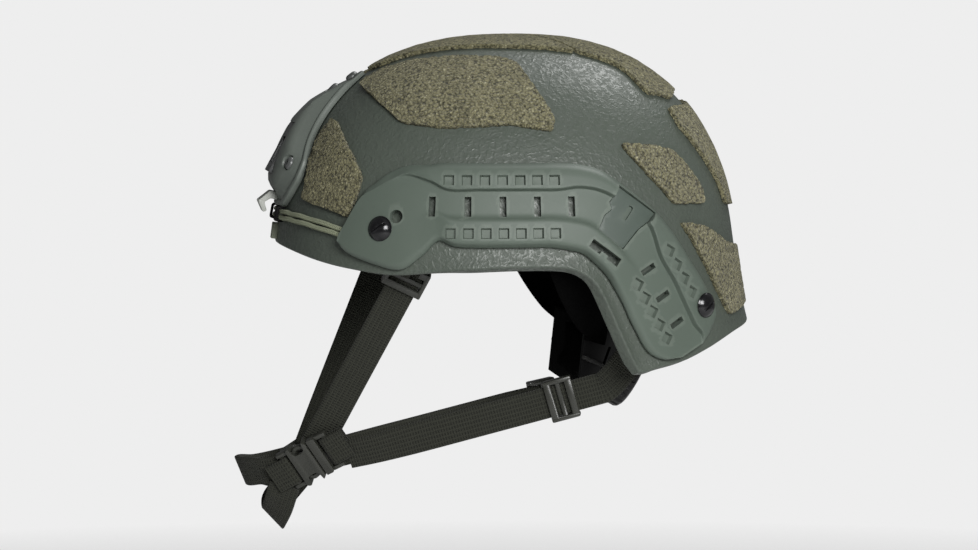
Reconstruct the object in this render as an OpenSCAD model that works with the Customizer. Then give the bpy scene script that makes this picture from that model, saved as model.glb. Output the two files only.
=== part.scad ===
// Combat helmet: ballistic shell with side accessory rails, front shroud, loop
// panels, pad and dial suspension, and a four-point webbing harness with a
// side-release chin buckle. Front is -Y, the wearer's left is +X, up is +Z, and
// the origin is the middle of the wearer's head at ear height.

/* [Shell] */
// Half width of the dome at its widest line
half_width = 120; // [114:0.5:128]
// Reach of the dome forward of its crown
front_reach = 148; // [143:0.5:156]
// Reach of the dome behind its crown
back_reach = 136; // [131:0.5:144]
// Rise of the crown above the widest line
crown_rise = 157; // [150:0.5:166]
// Height of the widest line
belt_z = -11; // [-16:0.5:-6]
// Roundness of the dome in side view, 2 is an ellipse
side_power = 2.45; // [2.3:0.05:2.6]
// Roundness of the dome in front view, 2 is an ellipse
width_power = 2.3; // [2.2:0.05:2.5]
// Thickness of the laminate
shell_wall = 8; // [6.5:0.25:9]

/* [Rim] */
// Height of the rim at the middle of the brow
brow_z = 23; // [18:0.5:27]
// Height of the rim at its low point over the temple
temple_z = 4.5; // [1:0.5:8]
// Height of the rim over the ear
ear_z = 11; // [8:0.5:14]
// Place of the rear lower corner along the helmet
corner_y = 76; // [73:0.5:79]
// Height of the rear lower corner
corner_z = -55; // [-60:0.5:-51]
// Height of the rim at the middle of the nape
nape_z = -32; // [-38:0.5:-28]
// Outward sweep of the shell at the nape rim
nape_flare = 11; // [6:0.5:14]
// Outward roll of the rim round the ear
ear_flare = 2.5; // [0:0.25:4]

/* [Loop panels] */
// Thickness of a loop panel
loop_thick = 2.2; // [1.5:0.1:3]
// Half width of the crown strip
crown_strip_half = 36; // [30:1:42]

/* [Rails] */
// Height of the rail's straight upper edge
rail_top_z = 74; // [71:0.5:77]
// Height of the rail's straight lower edge
rail_low_z = 24; // [22:0.5:26]
// Stand-off of the upper lip from the shell
rail_lip_h = 9.5; // [8.5:0.25:11]
// Stand-off of the lower lip from the shell
rail_low_lip_h = 8; // [7:0.25:9]
// Stand-off of the channel floor from the shell
rail_floor_h = 5.6; // [5:0.1:6.2]
// Stand-off of the rail's outer edge from the shell
rail_edge_h = 4; // [3:0.25:4.5]
// Pitch of the pockets along the lips
pocket_pitch = 10; // [9.5:0.1:10.5]
// Pockets in each straight lip
pocket_count = 7; // [5:1:7]
// Width of a pocket's mouth
pocket_size = 6.6; // [5:0.2:7.4]
// Depth of a pocket
pocket_deep = 2.6; // [1.5:0.1:3.2]
// Pitch of the slots along the channel
slot_pitch = 20; // [19:0.25:20.5]
// Width of a channel slot
slot_wide = 4; // [3:0.25:5]
// Height of a channel slot
slot_high = 12; // [9:0.5:14]
// Slope of the rear leg below level
leg_angle = 59; // [57:0.5:61]
// Pitch of the pockets on the rear leg
leg_pitch = 9.3; // [8.6:0.1:9.6]

/* [Rail screws] */
// Diameter of the screw shank
screw_shank = 5; // [4:0.25:6]
// Clearance round a shank in its hole
shank_gap = 0.25; // [0.1:0.05:0.4]
// Diameter of a domed rail screw head
rail_head = 15; // [12:0.5:16]
// Height of a domed head
rail_head_rise = 4; // [3:0.25:5]
// Width of a driver slot
driver_slot = 1.8; // [1.2:0.1:2.4]
// Diameter of a nut flange inside the shell
nut_flange = 14; // [11:0.5:16]

/* [Shroud] */
// Half width of the shroud at its widest
shroud_half = 40; // [38:0.5:41.5]
// Stand-off of the shroud flange
shroud_flange = 3; // [2.5:0.25:4]
// Stand-off of the shroud's raised frame
shroud_rise = 12.5; // [11:0.25:14]
// Half width of the socket in the shroud
socket_half = 16; // [14:0.5:18]
// Height of the socket
socket_high = 34; // [30:0.5:38]
// Thickness of the steel plate in the socket
plate_thick = 2; // [1.5:0.25:3]
// Diameter of a shroud screw head
shroud_head = 10; // [8:0.5:11]

/* [Bungee] */
// Diameter of a bungee strand
bungee_d = 4; // [3:0.25:4.5]
// Gap between the two strands
bungee_gap = 0.5; // [0.3:0.1:1]

/* [Pads] */
// Thickness of a liner pad
pad_thick = 15; // [11:0.5:18]
// Clearance of soft parts to their neighbours
soft_gap = 0.3; // [0.2:0.05:0.5]
// Thickness of a hook disc behind a pad
disc_thick = 2.6; // [2.4:0.1:3]

/* [Suspension] */
// Height of the headband
band_high = 14.5; // [13:0.5:16]
// Thickness of the headband
band_thick = 2.4; // [1.6:0.1:3]
// Half width of the nape cradle
cradle_half = 66; // [62:0.5:68]
// Height of the nape cradle at its middle
cradle_high = 44; // [38:0.5:48]
// Thickness of the nape cradle
cradle_thick = 3; // [2:0.25:4]
// Thickness of the nape pad
nape_pad_thick = 9; // [6:0.5:11]
// Tilt of the dial's axis below level
dial_tilt = 30; // [26:1:34]
// Diameter of the dial knob
knob_d = 40; // [36:0.5:44]
// Thickness of the dial knob
knob_thick = 11; // [9:0.5:13]
// Grip grooves round the knob
knob_grooves = 22; // [16:1:28]
// Diameter of the dial's spindle
spindle_d = 8; // [6:0.5:10]
// Running clearance round the spindle
spindle_gap = 0.08; // [0.03:0.01:0.1]
// Diameter of the fit lace
lace_d = 2.4; // [1.8:0.1:3]

/* [Harness] */
// Width of the webbing
web_wide = 19; // [17:0.5:20]
// Thickness of the webbing
web_thick = 1.8; // [1.2:0.1:2.2]
// Clearance of the webbing in a slider
web_gap = 0.4; // [0.3:0.05:0.6]
// Bar thickness of a slider
bar_thick = 3; // [2.5:0.25:3.5]
// Length of a slider along the webbing
slider_long = 26; // [22:0.5:30]

/* [Buckle] */
// Length of the female body
female_long = 19; // [18:0.5:22]
// Width of the female body
female_wide = 28; // [26:0.5:31]
// Thickness of the female body
female_thick = 9; // [8:0.25:10]
// Wall over the buckle's cavity
buckle_wall = 2.4; // [2:0.1:2.6]
// Clearance round the male prongs
prong_gap = 0.35; // [0.25:0.05:0.5]

/* [Hidden] */
$fn = 48;

// Helmet frame helpers
function unit(v) = v / norm(v);
function mix(a, b, t) = a + (b - a) * t;
function ease(t) = let (s = max(0, min(1, t))) s * s * (3 - 2 * s);
function flip(list) = [for (i = [len(list) - 1 : -1 : 0]) list[i]];
function mirrored(list) = [for (p = list) [-p[0], p[1]]];

// Rim height in side view, a smooth curve through its knots
rim_knots = [
    [-front_reach, brow_z], [-110, mix(temple_z, brow_z, 0.36)], [-84, temple_z],
    [-50, mix(temple_z, ear_z, 0.6)], [-12, ear_z], [10, ear_z - 3.5],
    [corner_y - 46, ear_z - 15], [corner_y - 22, corner_z + 18],
    [corner_y - 10, corner_z + 4], [corner_y, corner_z],
    [corner_y + 24, mix(corner_z, nape_z, 0.37)], [back_reach, nape_z]
];
function knot_slope(k, i) = let (a = max(0, i - 1), b = min(len(k) - 1, i + 1))
    (k[b][1] - k[a][1]) / (k[b][0] - k[a][0]);
function knot_curve(k, y, i = 0) =
    (i < len(k) - 2 && y > k[i + 1][0]) ? knot_curve(k, y, i + 1)
    : let (
        w = k[i + 1][0] - k[i][0],
        t = max(0, min(1, (y - k[i][0]) / w)),
        m0 = knot_slope(k, i) * w,
        m1 = knot_slope(k, i + 1) * w
    )
    (2 * pow(t, 3) - 3 * pow(t, 2) + 1) * k[i][1] + (pow(t, 3) - 2 * pow(t, 2) + t) * m0
    + (3 * pow(t, 2) - 2 * pow(t, 3)) * k[i + 1][1] + (pow(t, 3) - pow(t, 2)) * m1;
function rim_z(y) = knot_curve(rim_knots, y);

// Dome surface: |x/a|^m + (|y/b|^k + |z/c|^k)^(m/k) = 1
skirt_drop = 400;
function reach_of(y) = y < 0 ? front_reach : back_reach;
function rise_of(z) = z > belt_z ? crown_rise : skirt_drop;
function dome_rho(y, z) = pow(
    pow(abs(y) / reach_of(y), side_power) + pow(abs(z - belt_z) / rise_of(z), side_power),
    1 / side_power
);
function dome_level(p) = pow(abs(p[0]) / half_width, width_power) + pow(dome_rho(p[1], p[2]), width_power);
function dome_normal(p, e = 0.4) = unit([
    dome_level(p + [e, 0, 0]) - dome_level(p - [e, 0, 0]),
    dome_level(p + [0, e, 0]) - dome_level(p - [0, e, 0]),
    dome_level(p + [0, 0, e]) - dome_level(p - [0, 0, e])
]);
function dome_ray(az, el) = let (
    d = [cos(el) * sin(az), -cos(el) * cos(az), sin(el)],
    r = pow(dome_level(d + [0, 0, belt_z]), -1 / width_power)
) [0, 0, belt_z] + r * d;

// Points of the dome seen from one side
function side_point(y, z) = [half_width * pow(max(0, 1 - pow(dome_rho(y, z), width_power)), 1 / width_power), y, z];
function waist(x) = pow(max(0, 1 - pow(abs(x) / half_width, width_power)), side_power / width_power);
function top_point(x, y) = [x, y, belt_z + crown_rise
    * pow(max(0, waist(x) - pow(abs(y) / reach_of(y), side_power)), 1 / side_power)];
function depth_at(x, z) = pow(max(0, waist(x) - pow(abs(z - belt_z) / rise_of(z), side_power)), 1 / side_power);
function front_point(x, z) = [x, -front_reach * depth_at(x, z), z];
function back_point(x, z) = [x, back_reach * depth_at(x, z), z];
function seat(view, p) = view == "side" ? side_point(p[0], p[1])
    : view == "top" ? top_point(p[0], p[1])
    : view == "front" ? front_point(p[0], p[1])
    : back_point(p[0], p[1]);

// The shell's skin: the dome with the nape flare and the ear roll
flare_reach = 60;
roll_reach = 14;
function flare(p) = let (d = max(0, p[2] - rim_z(p[1])))
    nape_flare * ease((p[1] - 80) / 55) * pow(max(0, 1 - d / flare_reach), 2)
    + ear_flare * ease((p[1] + 75) / 40) * (1 - ease((p[1] - 85) / 40)) * pow(max(0, 1 - d / roll_reach), 2);
function skin(p, h) = p + dome_normal(p) * (h + flare(p));

// Stacked rings of points closed by a pole at each end
module capped_rings(first, rings, last) {
    n = len(rings[0]);
    m = len(rings);
    points = concat([first], [for (r = rings) each r], [last]);
    faces = concat(
        [for (i = [0 : n - 1]) [0, 1 + (i + 1) % n, 1 + i]],
        [for (j = [0 : m - 2]) for (i = [0 : n - 1])
            let (a = 1 + j * n + i, b = 1 + j * n + (i + 1) % n) each [[a, b, b + n], [a, b + n, a + n]]],
        [for (i = [0 : n - 1]) [m * n + 1, 1 + (m - 1) * n + i, 1 + (m - 1) * n + (i + 1) % n]]
    );
    polyhedron(points, faces);
}

// Outline helpers: softened corners and points at a steady spacing
function softened(o, r) = [for (i = [0 : len(o) - 1])
    let (
        v = o[i], p = o[(i + len(o) - 1) % len(o)], q = o[(i + 1) % len(o)],
        a = v + unit(p - v) * min(r, norm(p - v) * 0.4),
        b = v + unit(q - v) * min(r, norm(q - v) * 0.4)
    ) each [a, (a + b + 2 * v) / 4, b]];
function spaced(o, step) = [for (i = [0 : len(o) - 1])
    let (p = o[i], q = o[(i + 1) % len(o)], k = max(1, ceil(norm(q - p) / step)))
    for (j = [0 : k - 1]) mix(p, q, j / k)];
function middle(o) = [for (c = [0, 1]) (max([for (p = o) p[c]]) + min([for (p = o) p[c]])) / 2];

// A plate or cushion that follows the dome: profile is [share of the outline, stand-off]
module laid(view, outline, profile) {
    c = middle(outline);
    o = view == "back" ? flip(outline) : outline;
    last = len(profile) - 1;
    capped_rings(
        skin(seat(view, c), profile[0][1]),
        [for (k = [1 : last - 1]) [for (p = o) skin(seat(view, mix(c, p, profile[k][0])), profile[k][1])]],
        skin(seat(view, c), profile[last][1])
    );
}

// A bar of rings with flat ends
module lofted(rings) {
    n = len(rings[0]);
    m = len(rings);
    polyhedron([for (r = rings) each r], concat(
        [for (i = [1 : n - 2]) [0, i, i + 1]],
        [for (j = [0 : m - 2]) for (i = [0 : n - 1])
            let (a = j * n + i, b = j * n + (i + 1) % n) each [[a, a + n, b + n], [a, b + n, b]]],
        [for (i = [1 : n - 2]) [(m - 1) * n, (m - 1) * n + i + 1, (m - 1) * n + i]]
    ));
}

// Places its children with x and y along the skin and z outwards
module on_skin(view, p, h = 0) {
    at = skin(seat(view, p), h);
    n = dome_normal(seat(view, p));
    x = unit(cross([0, 0, 1], n));
    y = cross(n, x);
    multmatrix([[x[0], y[0], n[0], at[0]], [x[1], y[1], n[1], at[1]], [x[2], y[2], n[2], at[2]], [0, 0, 0, 1]])
        children();
}

// Places its children with y along a line and z along its face
module on_line(at, along, face) {
    y = unit(along);
    z = unit(face - y * (face * y));
    x = cross(y, z);
    multmatrix([[x[0], y[0], z[0], at[0]], [x[1], y[1], z[1], at[1]], [x[2], y[2], z[2], at[2]], [0, 0, 0, 1]])
        children();
}

module both_sides() {
    children();
    mirror([1, 0, 0]) children();
}

// Shell
shell_columns = 72;
outer_rings = 13;
inner_rings = 12;
function rim_el(az, lo = -48, hi = 40, n = 0) = let (mid = (lo + hi) / 2, p = dome_ray(az, mid))
    n > 16 ? mid : p[2] < rim_z(p[1]) ? rim_el(az, mid, hi, n + 1) : rim_el(az, lo, mid, n + 1);
rim_els = [for (i = [0 : shell_columns - 1]) rim_el(i * 360 / shell_columns)];
function shell_ring(t, h, drop = 0) = [for (i = [0 : shell_columns - 1])
    skin(dome_ray(i * 360 / shell_columns, mix(90, rim_els[i], t)), h) - [0, 0, drop]];
rim_round = 1.8;
front_bolt = [-93, 36];
rear_bolt = [103, -13];
top_bolt = [0, 114];
side_bolt = [30, 66];

module bolt_bores(reach = 20) {
    both_sides() {
        on_skin("side", front_bolt) bolt_bore(reach);
        on_skin("side", rear_bolt) bolt_bore(reach);
        on_skin("front", side_bolt) bolt_bore(reach);
    }
    on_skin("front", top_bolt) bolt_bore(reach);
}

module bolt_bore(reach) {
    cylinder(d = screw_shank + 2 * shank_gap, h = 2 * reach, center = true);
}

module shell() {
    color([0.24, 0.28, 0.26])
    difference() {
        capped_rings(
            skin(dome_ray(0, 90), 0),
            concat(
                [for (j = [1 : outer_rings]) shell_ring(j / outer_rings, 0)],
                [shell_ring(1, -rim_round, rim_round), shell_ring(1, rim_round - shell_wall, rim_round)],
                [for (j = [inner_rings : -1 : 1]) shell_ring(j / inner_rings, -shell_wall)]
            ),
            skin(dome_ray(0, 90), -shell_wall)
        );
        bolt_bores();
    }
}

// Loop panels
loop_gap = 0.7;
function loop_profile(rings) = let (top = loop_gap + loop_thick) concat(
    [for (k = [0 : rings - 1]) [k / rings, top]],
    [[0.98, top], [1, top - 0.5]],
    [for (k = [rings : -1 : 0]) [k / rings, loop_gap]]
);
temple_panel = [[-132.5, 47], [-112, 38], [-107, 51], [-101, 64], [-110, 94], [-116, 98], [-123, 83], [-131, 64]];
side_panel = [
    [-77, 96], [-53, 93], [-13, 95], [11, 91], [13, 98], [1, 118], [-5, 130],
    [-14, 133], [-44, 133], [-70, 129], [-88, 121], [-96, 116]
];
crown_panel = [
    [15, -86], [crown_strip_half - 6, -70], [crown_strip_half, -36], [crown_strip_half + 3, 10], [crown_strip_half + 5, 40],
    [-crown_strip_half - 5, 40], [-crown_strip_half - 3, 10], [-crown_strip_half, -36], [6 - crown_strip_half, -70], [-15, -86]
];
crown_tail_panel = [
    [crown_strip_half + 6, 43], [crown_strip_half + 14, 58], [52, 83], [20, 88],
    [-20, 88], [-52, 83], [-crown_strip_half - 14, 58], [-crown_strip_half - 6, 43]
];
rear_panel = [
    [70, 102], [40, 105], [0, 106], [-40, 105], [-70, 102], [-68, 94], [-64, 76], [-60, 60],
    [-57, 44], [-20, 42], [20, 42], [57, 44], [60, 60], [64, 76], [68, 94]
];
rear_side_panel = [[73, 57], [83, 48], [108, 46], [103, 60], [90, 74], [84, 82], [66, 83], [52, 86], [61, 72]];
nape_panel = [[40, -14], [72, -21], [84, 4], [93, 22], [97, 38], [70, 26], [40, 36]];

module loop_panel(view, outline, rings = 3, step = 18) {
    color([0.46, 0.45, 0.34])
        laid(view, spaced(softened(outline, 4), step), loop_profile(rings));
}

module loop_temple_left() {
    loop_panel("side", temple_panel);
}

module loop_temple_right() {
    mirror([1, 0, 0]) loop_temple_left();
}

module loop_side_left() {
    loop_panel("side", side_panel, 5, 12);
}

module loop_side_right() {
    mirror([1, 0, 0]) loop_side_left();
}

module loop_crown() {
    loop_panel("top", crown_panel, 5);
}

module loop_crown_tail() {
    loop_panel("top", crown_tail_panel, 4);
}

module loop_rear() {
    loop_panel("back", rear_panel, 5);
}

module loop_rear_side_left() {
    loop_panel("side", rear_side_panel);
}

module loop_rear_side_right() {
    mirror([1, 0, 0]) loop_rear_side_left();
}

module loop_nape_left() {
    loop_panel("back", nape_panel);
}

module loop_nape_right() {
    mirror([1, 0, 0]) loop_nape_left();
}

// Rails: stations hold the lower and upper edge, where the lips begin, and how
// much of the lower lip's and of the upper lip's rise is there
lip_low = 0.33;
lip_high = 0.68;
rail_stations = [
    [[-113, 26], [-111.5, 31], 0.4, 0.8, 0, 0],
    [[-109, 20], [-100, 53], 0.4, 0.9, 0, 0],
    [[-95, 14], [-92, 61], 0.4, 0.9, 0, 0],
    [[-80, 11], [-84, 67], 0.4, 0.9, 0, 0],
    [[-68, 19], [-74, 71], 0.4, 0.88, 0, 0.3],
    [[-58, rail_low_z + 4], [-62, rail_top_z - 1], 0.36, 0.76, 0.4, 1],
    [[-50, rail_low_z + 1], [-54, rail_top_z], lip_low, lip_high, 1, 1],
    [[-36, rail_low_z], [-34, rail_top_z], lip_low, lip_high, 1, 1],
    [[-22, rail_low_z], [-18, rail_top_z], lip_low, lip_high, 1, 1],
    [[-8, rail_low_z], [-2, rail_top_z], lip_low, lip_high, 1, 1],
    [[6, rail_low_z], [14, rail_top_z], lip_low, lip_high, 1, 1],
    [[17, rail_low_z - 1.5], [26, rail_top_z - 1], lip_low, lip_high + 0.04, 1, 1],
    [[26, rail_low_z - 4], [38, rail_top_z - 4.5], lip_low, lip_high + 0.07, 1, 1],
    [[34, 13.5], [49, 61.5], lip_low, lip_high + 0.08, 1, 1],
    [[40, 7], [60, 54.5], lip_low, lip_high + 0.08, 0.9, 1],
    [[45, -1], [71, 46], lip_low, lip_high + 0.06, 0.5, 1],
    [[50, -10], [83, 32], 0.36, lip_high + 0.02, 0, 1],
    [[54, -19], [94, 15.5], 0.38, 0.7, 0, 1],
    [[58, -26.5], [101, 5], 0.38, 0.7, 0, 1],
    [[62, -34], [107, -6], 0.38, 0.7, 0, 1],
    [[67, -40], [110, -15], 0.38, 0.74, 0, 1],
    [[74, -43.5], [106.5, -25], 0.38, 0.8, 0, 0.6],
    [[83, -43], [101, -33.5], 0.4, 0.85, 0, 0]
];
rail_seat = 1.1;
rail_plate_h = 6;

function rail_ring(s) = let (
    low = s[0], top = s[1], a = s[2], b = s[3],
    floor_h = mix(rail_plate_h, rail_floor_h, max(s[4], s[5])),
    low_h = mix(floor_h, rail_low_lip_h, s[4]),
    high_h = mix(floor_h, rail_lip_h, s[5])
) [for (q = [
    [0, rail_seat], [0, rail_edge_h], [0.05, low_h], [a - 0.02, low_h], [a + 0.04, floor_h],
    [b - 0.012, floor_h], [b + 0.012, high_h], [0.9, high_h], [1, rail_edge_h], [1, rail_seat],
    [0.75, rail_seat], [0.5, rail_seat], [0.25, rail_seat]
]) skin(seat("side", mix(low, top, q[0])), q[1])];

// The rear leg's own axes in side view
leg_at = [65, 10];
leg_run = [cos(leg_angle), -sin(leg_angle)];
leg_rise = [sin(leg_angle), cos(leg_angle)];
pocket_first_y = -51;
pocket_low_z = rail_low_z + 9.2;
pocket_high_z = rail_top_z - 10.2;
slot_first_y = -61;
slot_z = 49;
leg_slot_pitch = 18.4;
insert_outline = [[35, 33.5], [50, 20.5], [70, 43], [49, 60]];

function grown(o, d) = let (c = middle(o)) [for (p = o) p + unit(p - c) * d];

module pocket(p, top_h, turn = 0) {
    on_skin("side", p, top_h - pocket_deep)
        rotate([0, 0, turn])
            hull() {
                translate([0, 0, 0.5]) cube([pocket_size - 1.6, pocket_size - 1.6, 1], center = true);
                translate([0, 0, pocket_deep + 2]) cube([pocket_size + 0.8, pocket_size + 0.8, 1], center = true);
            }
}

module through_slot(p, wide, high, turn = 0) {
    on_skin("side", p) rotate([0, 0, turn]) translate([0, 0, 5]) cube([wide, high, 16], center = true);
}

module insert_slab(spread, low, high) {
    laid("side", spaced(grown(insert_outline, spread), 12),
        [[0, high], [0.5, high], [1, high], [1, low], [0.5, low], [0, low]]);
}

module rail() {
    insert_floor = 3.2;
    color([0.36, 0.39, 0.36])
    difference() {
        lofted([for (s = rail_stations) flip(rail_ring(s))]);
        for (i = [0 : pocket_count - 1]) {
            pocket([pocket_first_y + i * pocket_pitch, pocket_high_z], rail_lip_h);
            pocket([pocket_first_y + i * pocket_pitch, pocket_low_z], rail_low_lip_h);
        }
        for (i = [0 : 3])
            pocket(leg_at + leg_rise * 17.2 + leg_run * (i * leg_pitch - 1.3), rail_lip_h, leg_angle - 90);
        for (i = [0 : 4])
            pocket(leg_at - leg_rise * 9.2 + leg_run * (i * leg_pitch + 3.8), rail_floor_h, leg_angle - 90);
        for (i = [0 : 4])
            through_slot([slot_first_y + i * slot_pitch, slot_z], slot_wide, slot_high);
        for (i = [0 : 2])
            through_slot(leg_at + leg_run * i * leg_slot_pitch, 8.2, 2.8, 90 - leg_angle);
        insert_slab(0.25, insert_floor, 14);
        retainer_slot();
        on_skin("side", front_bolt) bolt_bore(20);
        on_skin("side", rear_bolt) bolt_bore(20);
        on_skin("side", [-85, 42]) cylinder(d = 8, h = 40, center = true);
    }
}

// The slot in the lower lip with its hooked tab
module retainer_slot() {
    on_skin("side", [40, 21]) rotate([0, 0, -38]) translate([0, 0, 6])
        difference() {
            cube([21, 5.4, 14], center = true);
            translate([0, -2.2, 0]) cube([7, 2, 14], center = true);
        }
}

module rail_left() {
    rail();
}

module rail_right() {
    mirror([1, 0, 0]) rail();
}

module rail_insert() {
    color([0.33, 0.36, 0.34]) insert_slab(-0.1, 3.5, 5);
}

module rail_insert_left() {
    rail_insert();
}

module rail_insert_right() {
    mirror([1, 0, 0]) rail_insert();
}

// Fasteners
module domed_screw(head_d, rise, shank) {
    ball = (head_d * head_d / 4 + rise * rise) / (2 * rise);
    difference() {
        union() {
            intersection() {
                cylinder(d = head_d, h = rise);
                translate([0, 0, rise - ball]) sphere(r = ball);
            }
            translate([0, 0, -shank]) cylinder(d = screw_shank, h = shank + 0.5);
        }
        rotate([0, 0, 35]) translate([0, 0, rise]) cube([head_d + 1, driver_slot, 3], center = true);
    }
}

module shell_nut(height) {
    difference() {
        union() {
            cylinder(d = nut_flange, h = height / 2);
            cylinder(d = nut_flange - 5, h = height);
        }
        translate([0, 0, -1]) cylinder(d = screw_shank + 0.2, h = height + 2);
    }
}

head_gap = 0.2;
nut_gap = 0.7;
tab_gap = 0.3;
tab_lift = -shell_wall - 1 - web_thick / 2;
module rail_screws() {
    color([0.05, 0.05, 0.06]) both_sides() {
        on_skin("side", front_bolt, rail_plate_h + head_gap) domed_screw(rail_head, rail_head_rise, 18);
        on_skin("side", rear_bolt, rail_lip_h + head_gap + 0.5) domed_screw(rail_head, rail_head_rise, 21);
    }
}

module nut_inside(view, p, lift, height) {
    on_skin(view, p, lift) mirror([0, 0, 1]) shell_nut(height);
}

// The rail nuts clamp the harness webbing against the shell
module rail_nuts() {
    lift = tab_lift - web_thick / 2 - tab_gap;
    color([0.1, 0.1, 0.1]) both_sides() {
        nut_inside("side", front_bolt, lift, 3.2);
        nut_inside("side", rear_bolt, lift, 3.2);
    }
}

// Shroud: flange on the brow with a raised frame and a socket
shroud_side = [
    [26, 44], [33, 50], [shroud_half, 60], [shroud_half, 71], [31, 84], [24, 97], [19, 109], [13, 119], [6, 124]
];
shroud_outline = concat([[0, 44]], shroud_side, mirrored(flip(shroud_side)));
shroud_seat = 0.5;
socket_z = 70;

module shroud() {
    o = spaced(shroud_outline, 30);
    rim = [for (t = [1, 0.75, 0.5, 0.25, 0]) [t, shroud_seat]];
    rise = [
        [0, shroud_rise], [0.35, shroud_rise], [0.58, shroud_rise], [0.7, shroud_rise - 1.5],
        [0.82, shroud_flange + 3], [0.87, shroud_flange], [0.97, shroud_flange], [1, shroud_flange - 1]
    ];
    color([0.36, 0.39, 0.36])
    difference() {
        laid("front", o, concat(rise, rim));
        socket_cut();
        for (s = [-1, 1])
            on_skin("front", [s * side_bolt[0], side_bolt[1]]) {
                bolt_bore(20);
                translate([0, 0, shroud_flange + 1]) cylinder(d = shroud_head + 1.5, h = 20);
            }
        on_skin("front", top_bolt) {
            bolt_bore(20);
            translate([0, 0, shroud_flange + 2.5]) cylinder(d = shroud_head + 1.5, h = 20);
        }
    }
}

module socket_cut() {
    on_skin("front", [0, socket_z], shroud_flange + 1)
        linear_extrude(height = 30)
            square([2 * socket_half, socket_high], center = true);
}

// Steel plate at the bottom of the socket with its dovetail slot
module shroud_plate() {
    gap = 0.2;
    color([0.2, 0.2, 0.2])
        on_skin("front", [0, socket_z], shroud_flange + 1.1)
            difference() {
                linear_extrude(height = plate_thick)
                    square([2 * (socket_half - gap), socket_high - 2 * gap], center = true);
                translate([0, -2, -1]) linear_extrude(height = plate_thick + 2)
                    polygon([[-6, -9], [6, -9], [9, 9], [-9, 9]]);
            }
}

module shroud_screws() {
    color([0.16, 0.17, 0.16]) {
        both_sides()
            on_skin("front", side_bolt, shroud_flange + 1.2) domed_screw(shroud_head, 2.6, 14);
        on_skin("front", top_bolt, shroud_flange + 2.7) domed_screw(shroud_head, 2.6, 16);
    }
}

module shroud_nuts() {
    color([0.1, 0.1, 0.1]) {
        both_sides() nut_inside("front", side_bolt, -shell_wall - nut_gap, 2.2);
        nut_inside("front", top_bolt, -shell_wall - nut_gap, 2.2);
    }
}

// Pale lanyard hook under the socket
module shroud_hook() {
    color([0.62, 0.63, 0.6])
        on_skin("front", [0, 47.2], shroud_flange + 0.3)
            difference() {
                union() {
                    translate([-9, -2, 0]) cube([18, 4, 2]);
                    translate([-9, -2, 0]) cube([18, 2.2, 12.5]);
                }
                translate([-5, -3, 5]) cube([10, 5, 4.5]);
            }
}

// Bungee: two strands a side from the ring under the shroud to the rail tip
ring_x = 17;
ring_z = 34.5;
rail_tip_x = 83;
strand_lift = 0.6;
bungee_steps = 12;
function bungee_line(t, k) = let (
    x = mix(ring_x, rail_tip_x, t),
    z = mix(ring_z, 29, pow(t, 1.5)) + (k - 0.5) * (bungee_d + bungee_gap)
) skin(front_point(x, z), bungee_d / 2 + strand_lift);

function round_ring(p, along, out, r, sides) = let (u = unit(out - along * (out * along)), v = cross(along, u))
    [for (i = [0 : sides - 1]) p + r * (u * cos(i * 360 / sides) + v * sin(i * 360 / sides))];
function cord_rings(path, outs, r, sides) = let (n = len(path)) [for (i = [0 : n - 1])
    round_ring(path[i], unit(path[min(n - 1, i + 1)] - path[max(0, i - 1)]), outs[i], r, sides)];

module bungee() {
    color([0.42, 0.44, 0.3])
    for (k = [0, 1]) {
        path = [for (i = [0 : bungee_steps]) bungee_line(i / bungee_steps, k)];
        lofted(cord_rings(path, [for (p = path) dome_normal(p)], bungee_d / 2, 8));
    }
}

module bungee_left() {
    bungee();
}

module bungee_right() {
    mirror([1, 0, 0]) bungee();
}

// Black rings that hold the strands under the shroud
module bungee_rings() {
    ring_wall = 2;
    tall = 2 * bungee_d + bungee_gap + 0.6;
    color([0.08, 0.08, 0.08]) both_sides()
        on_skin("front", [ring_x + 3, ring_z], bungee_d / 2 + strand_lift)
            difference() {
                translate([-3, -tall / 2 - ring_wall, -bungee_d / 2 - 0.5]) cube([6, tall + 2 * ring_wall, bungee_d + ring_wall + 1.4]);
                translate([-4, -tall / 2, -bungee_d / 2 - 1.5]) cube([8, tall, bungee_d + 2]);
            }
}

// Liner pads: soft_gap inside their hook discs
disc_gap = 0.7;
pad_top = -shell_wall - disc_gap - disc_thick - soft_gap;
pad_profile = [
    [0, pad_top], [0.55, pad_top], [0.9, pad_top - 0.5], [1, pad_top - 0.3 * pad_thick],
    [0.98, pad_top - 0.7 * pad_thick], [0.85, pad_top - 0.93 * pad_thick],
    [0.5, pad_top - pad_thick], [0, pad_top - pad_thick]
];
disc_profile = [
    [0, -shell_wall - disc_gap], [1, -shell_wall - disc_gap],
    [1, -shell_wall - disc_gap - disc_thick], [0, -shell_wall - disc_gap - disc_thick]
];
function oval(c, a, b, n = 20) = [for (i = [0 : n - 1]) c + [a * cos(i * 360 / n), b * sin(i * 360 / n)]];
function slot_shape(c, a, b, n = 20) = [for (i = [0 : n - 1])
    let (u = cos(i * 360 / n), v = sin(i * 360 / n), k = pow(pow(abs(u), 4) + pow(abs(v), 4), -0.25))
    c + [a * u * k, b * v * k]];
pad_places = [
    ["pad_crown", "top", [0, 4], 44, 38], ["pad_front", "front", [0, 68], 42, 17], ["pad_rear", "back", [0, 52], 42, 20]
];
side_front_pad = ["side", [-62, 58], 27, 19];
side_rear_pad = ["side", [28, 56], 33, 20];

module liner_pad(view, at, a, b) {
    color([0.1, 0.1, 0.1]) laid(view, slot_shape(at, a, b), pad_profile);
}

module pad_crown() {
    liner_pad("top", pad_places[0][2], pad_places[0][3], pad_places[0][4]);
}

module pad_front() {
    liner_pad("front", pad_places[1][2], pad_places[1][3], pad_places[1][4]);
}

module pad_rear() {
    liner_pad("back", pad_places[2][2], pad_places[2][3], pad_places[2][4]);
}

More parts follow.
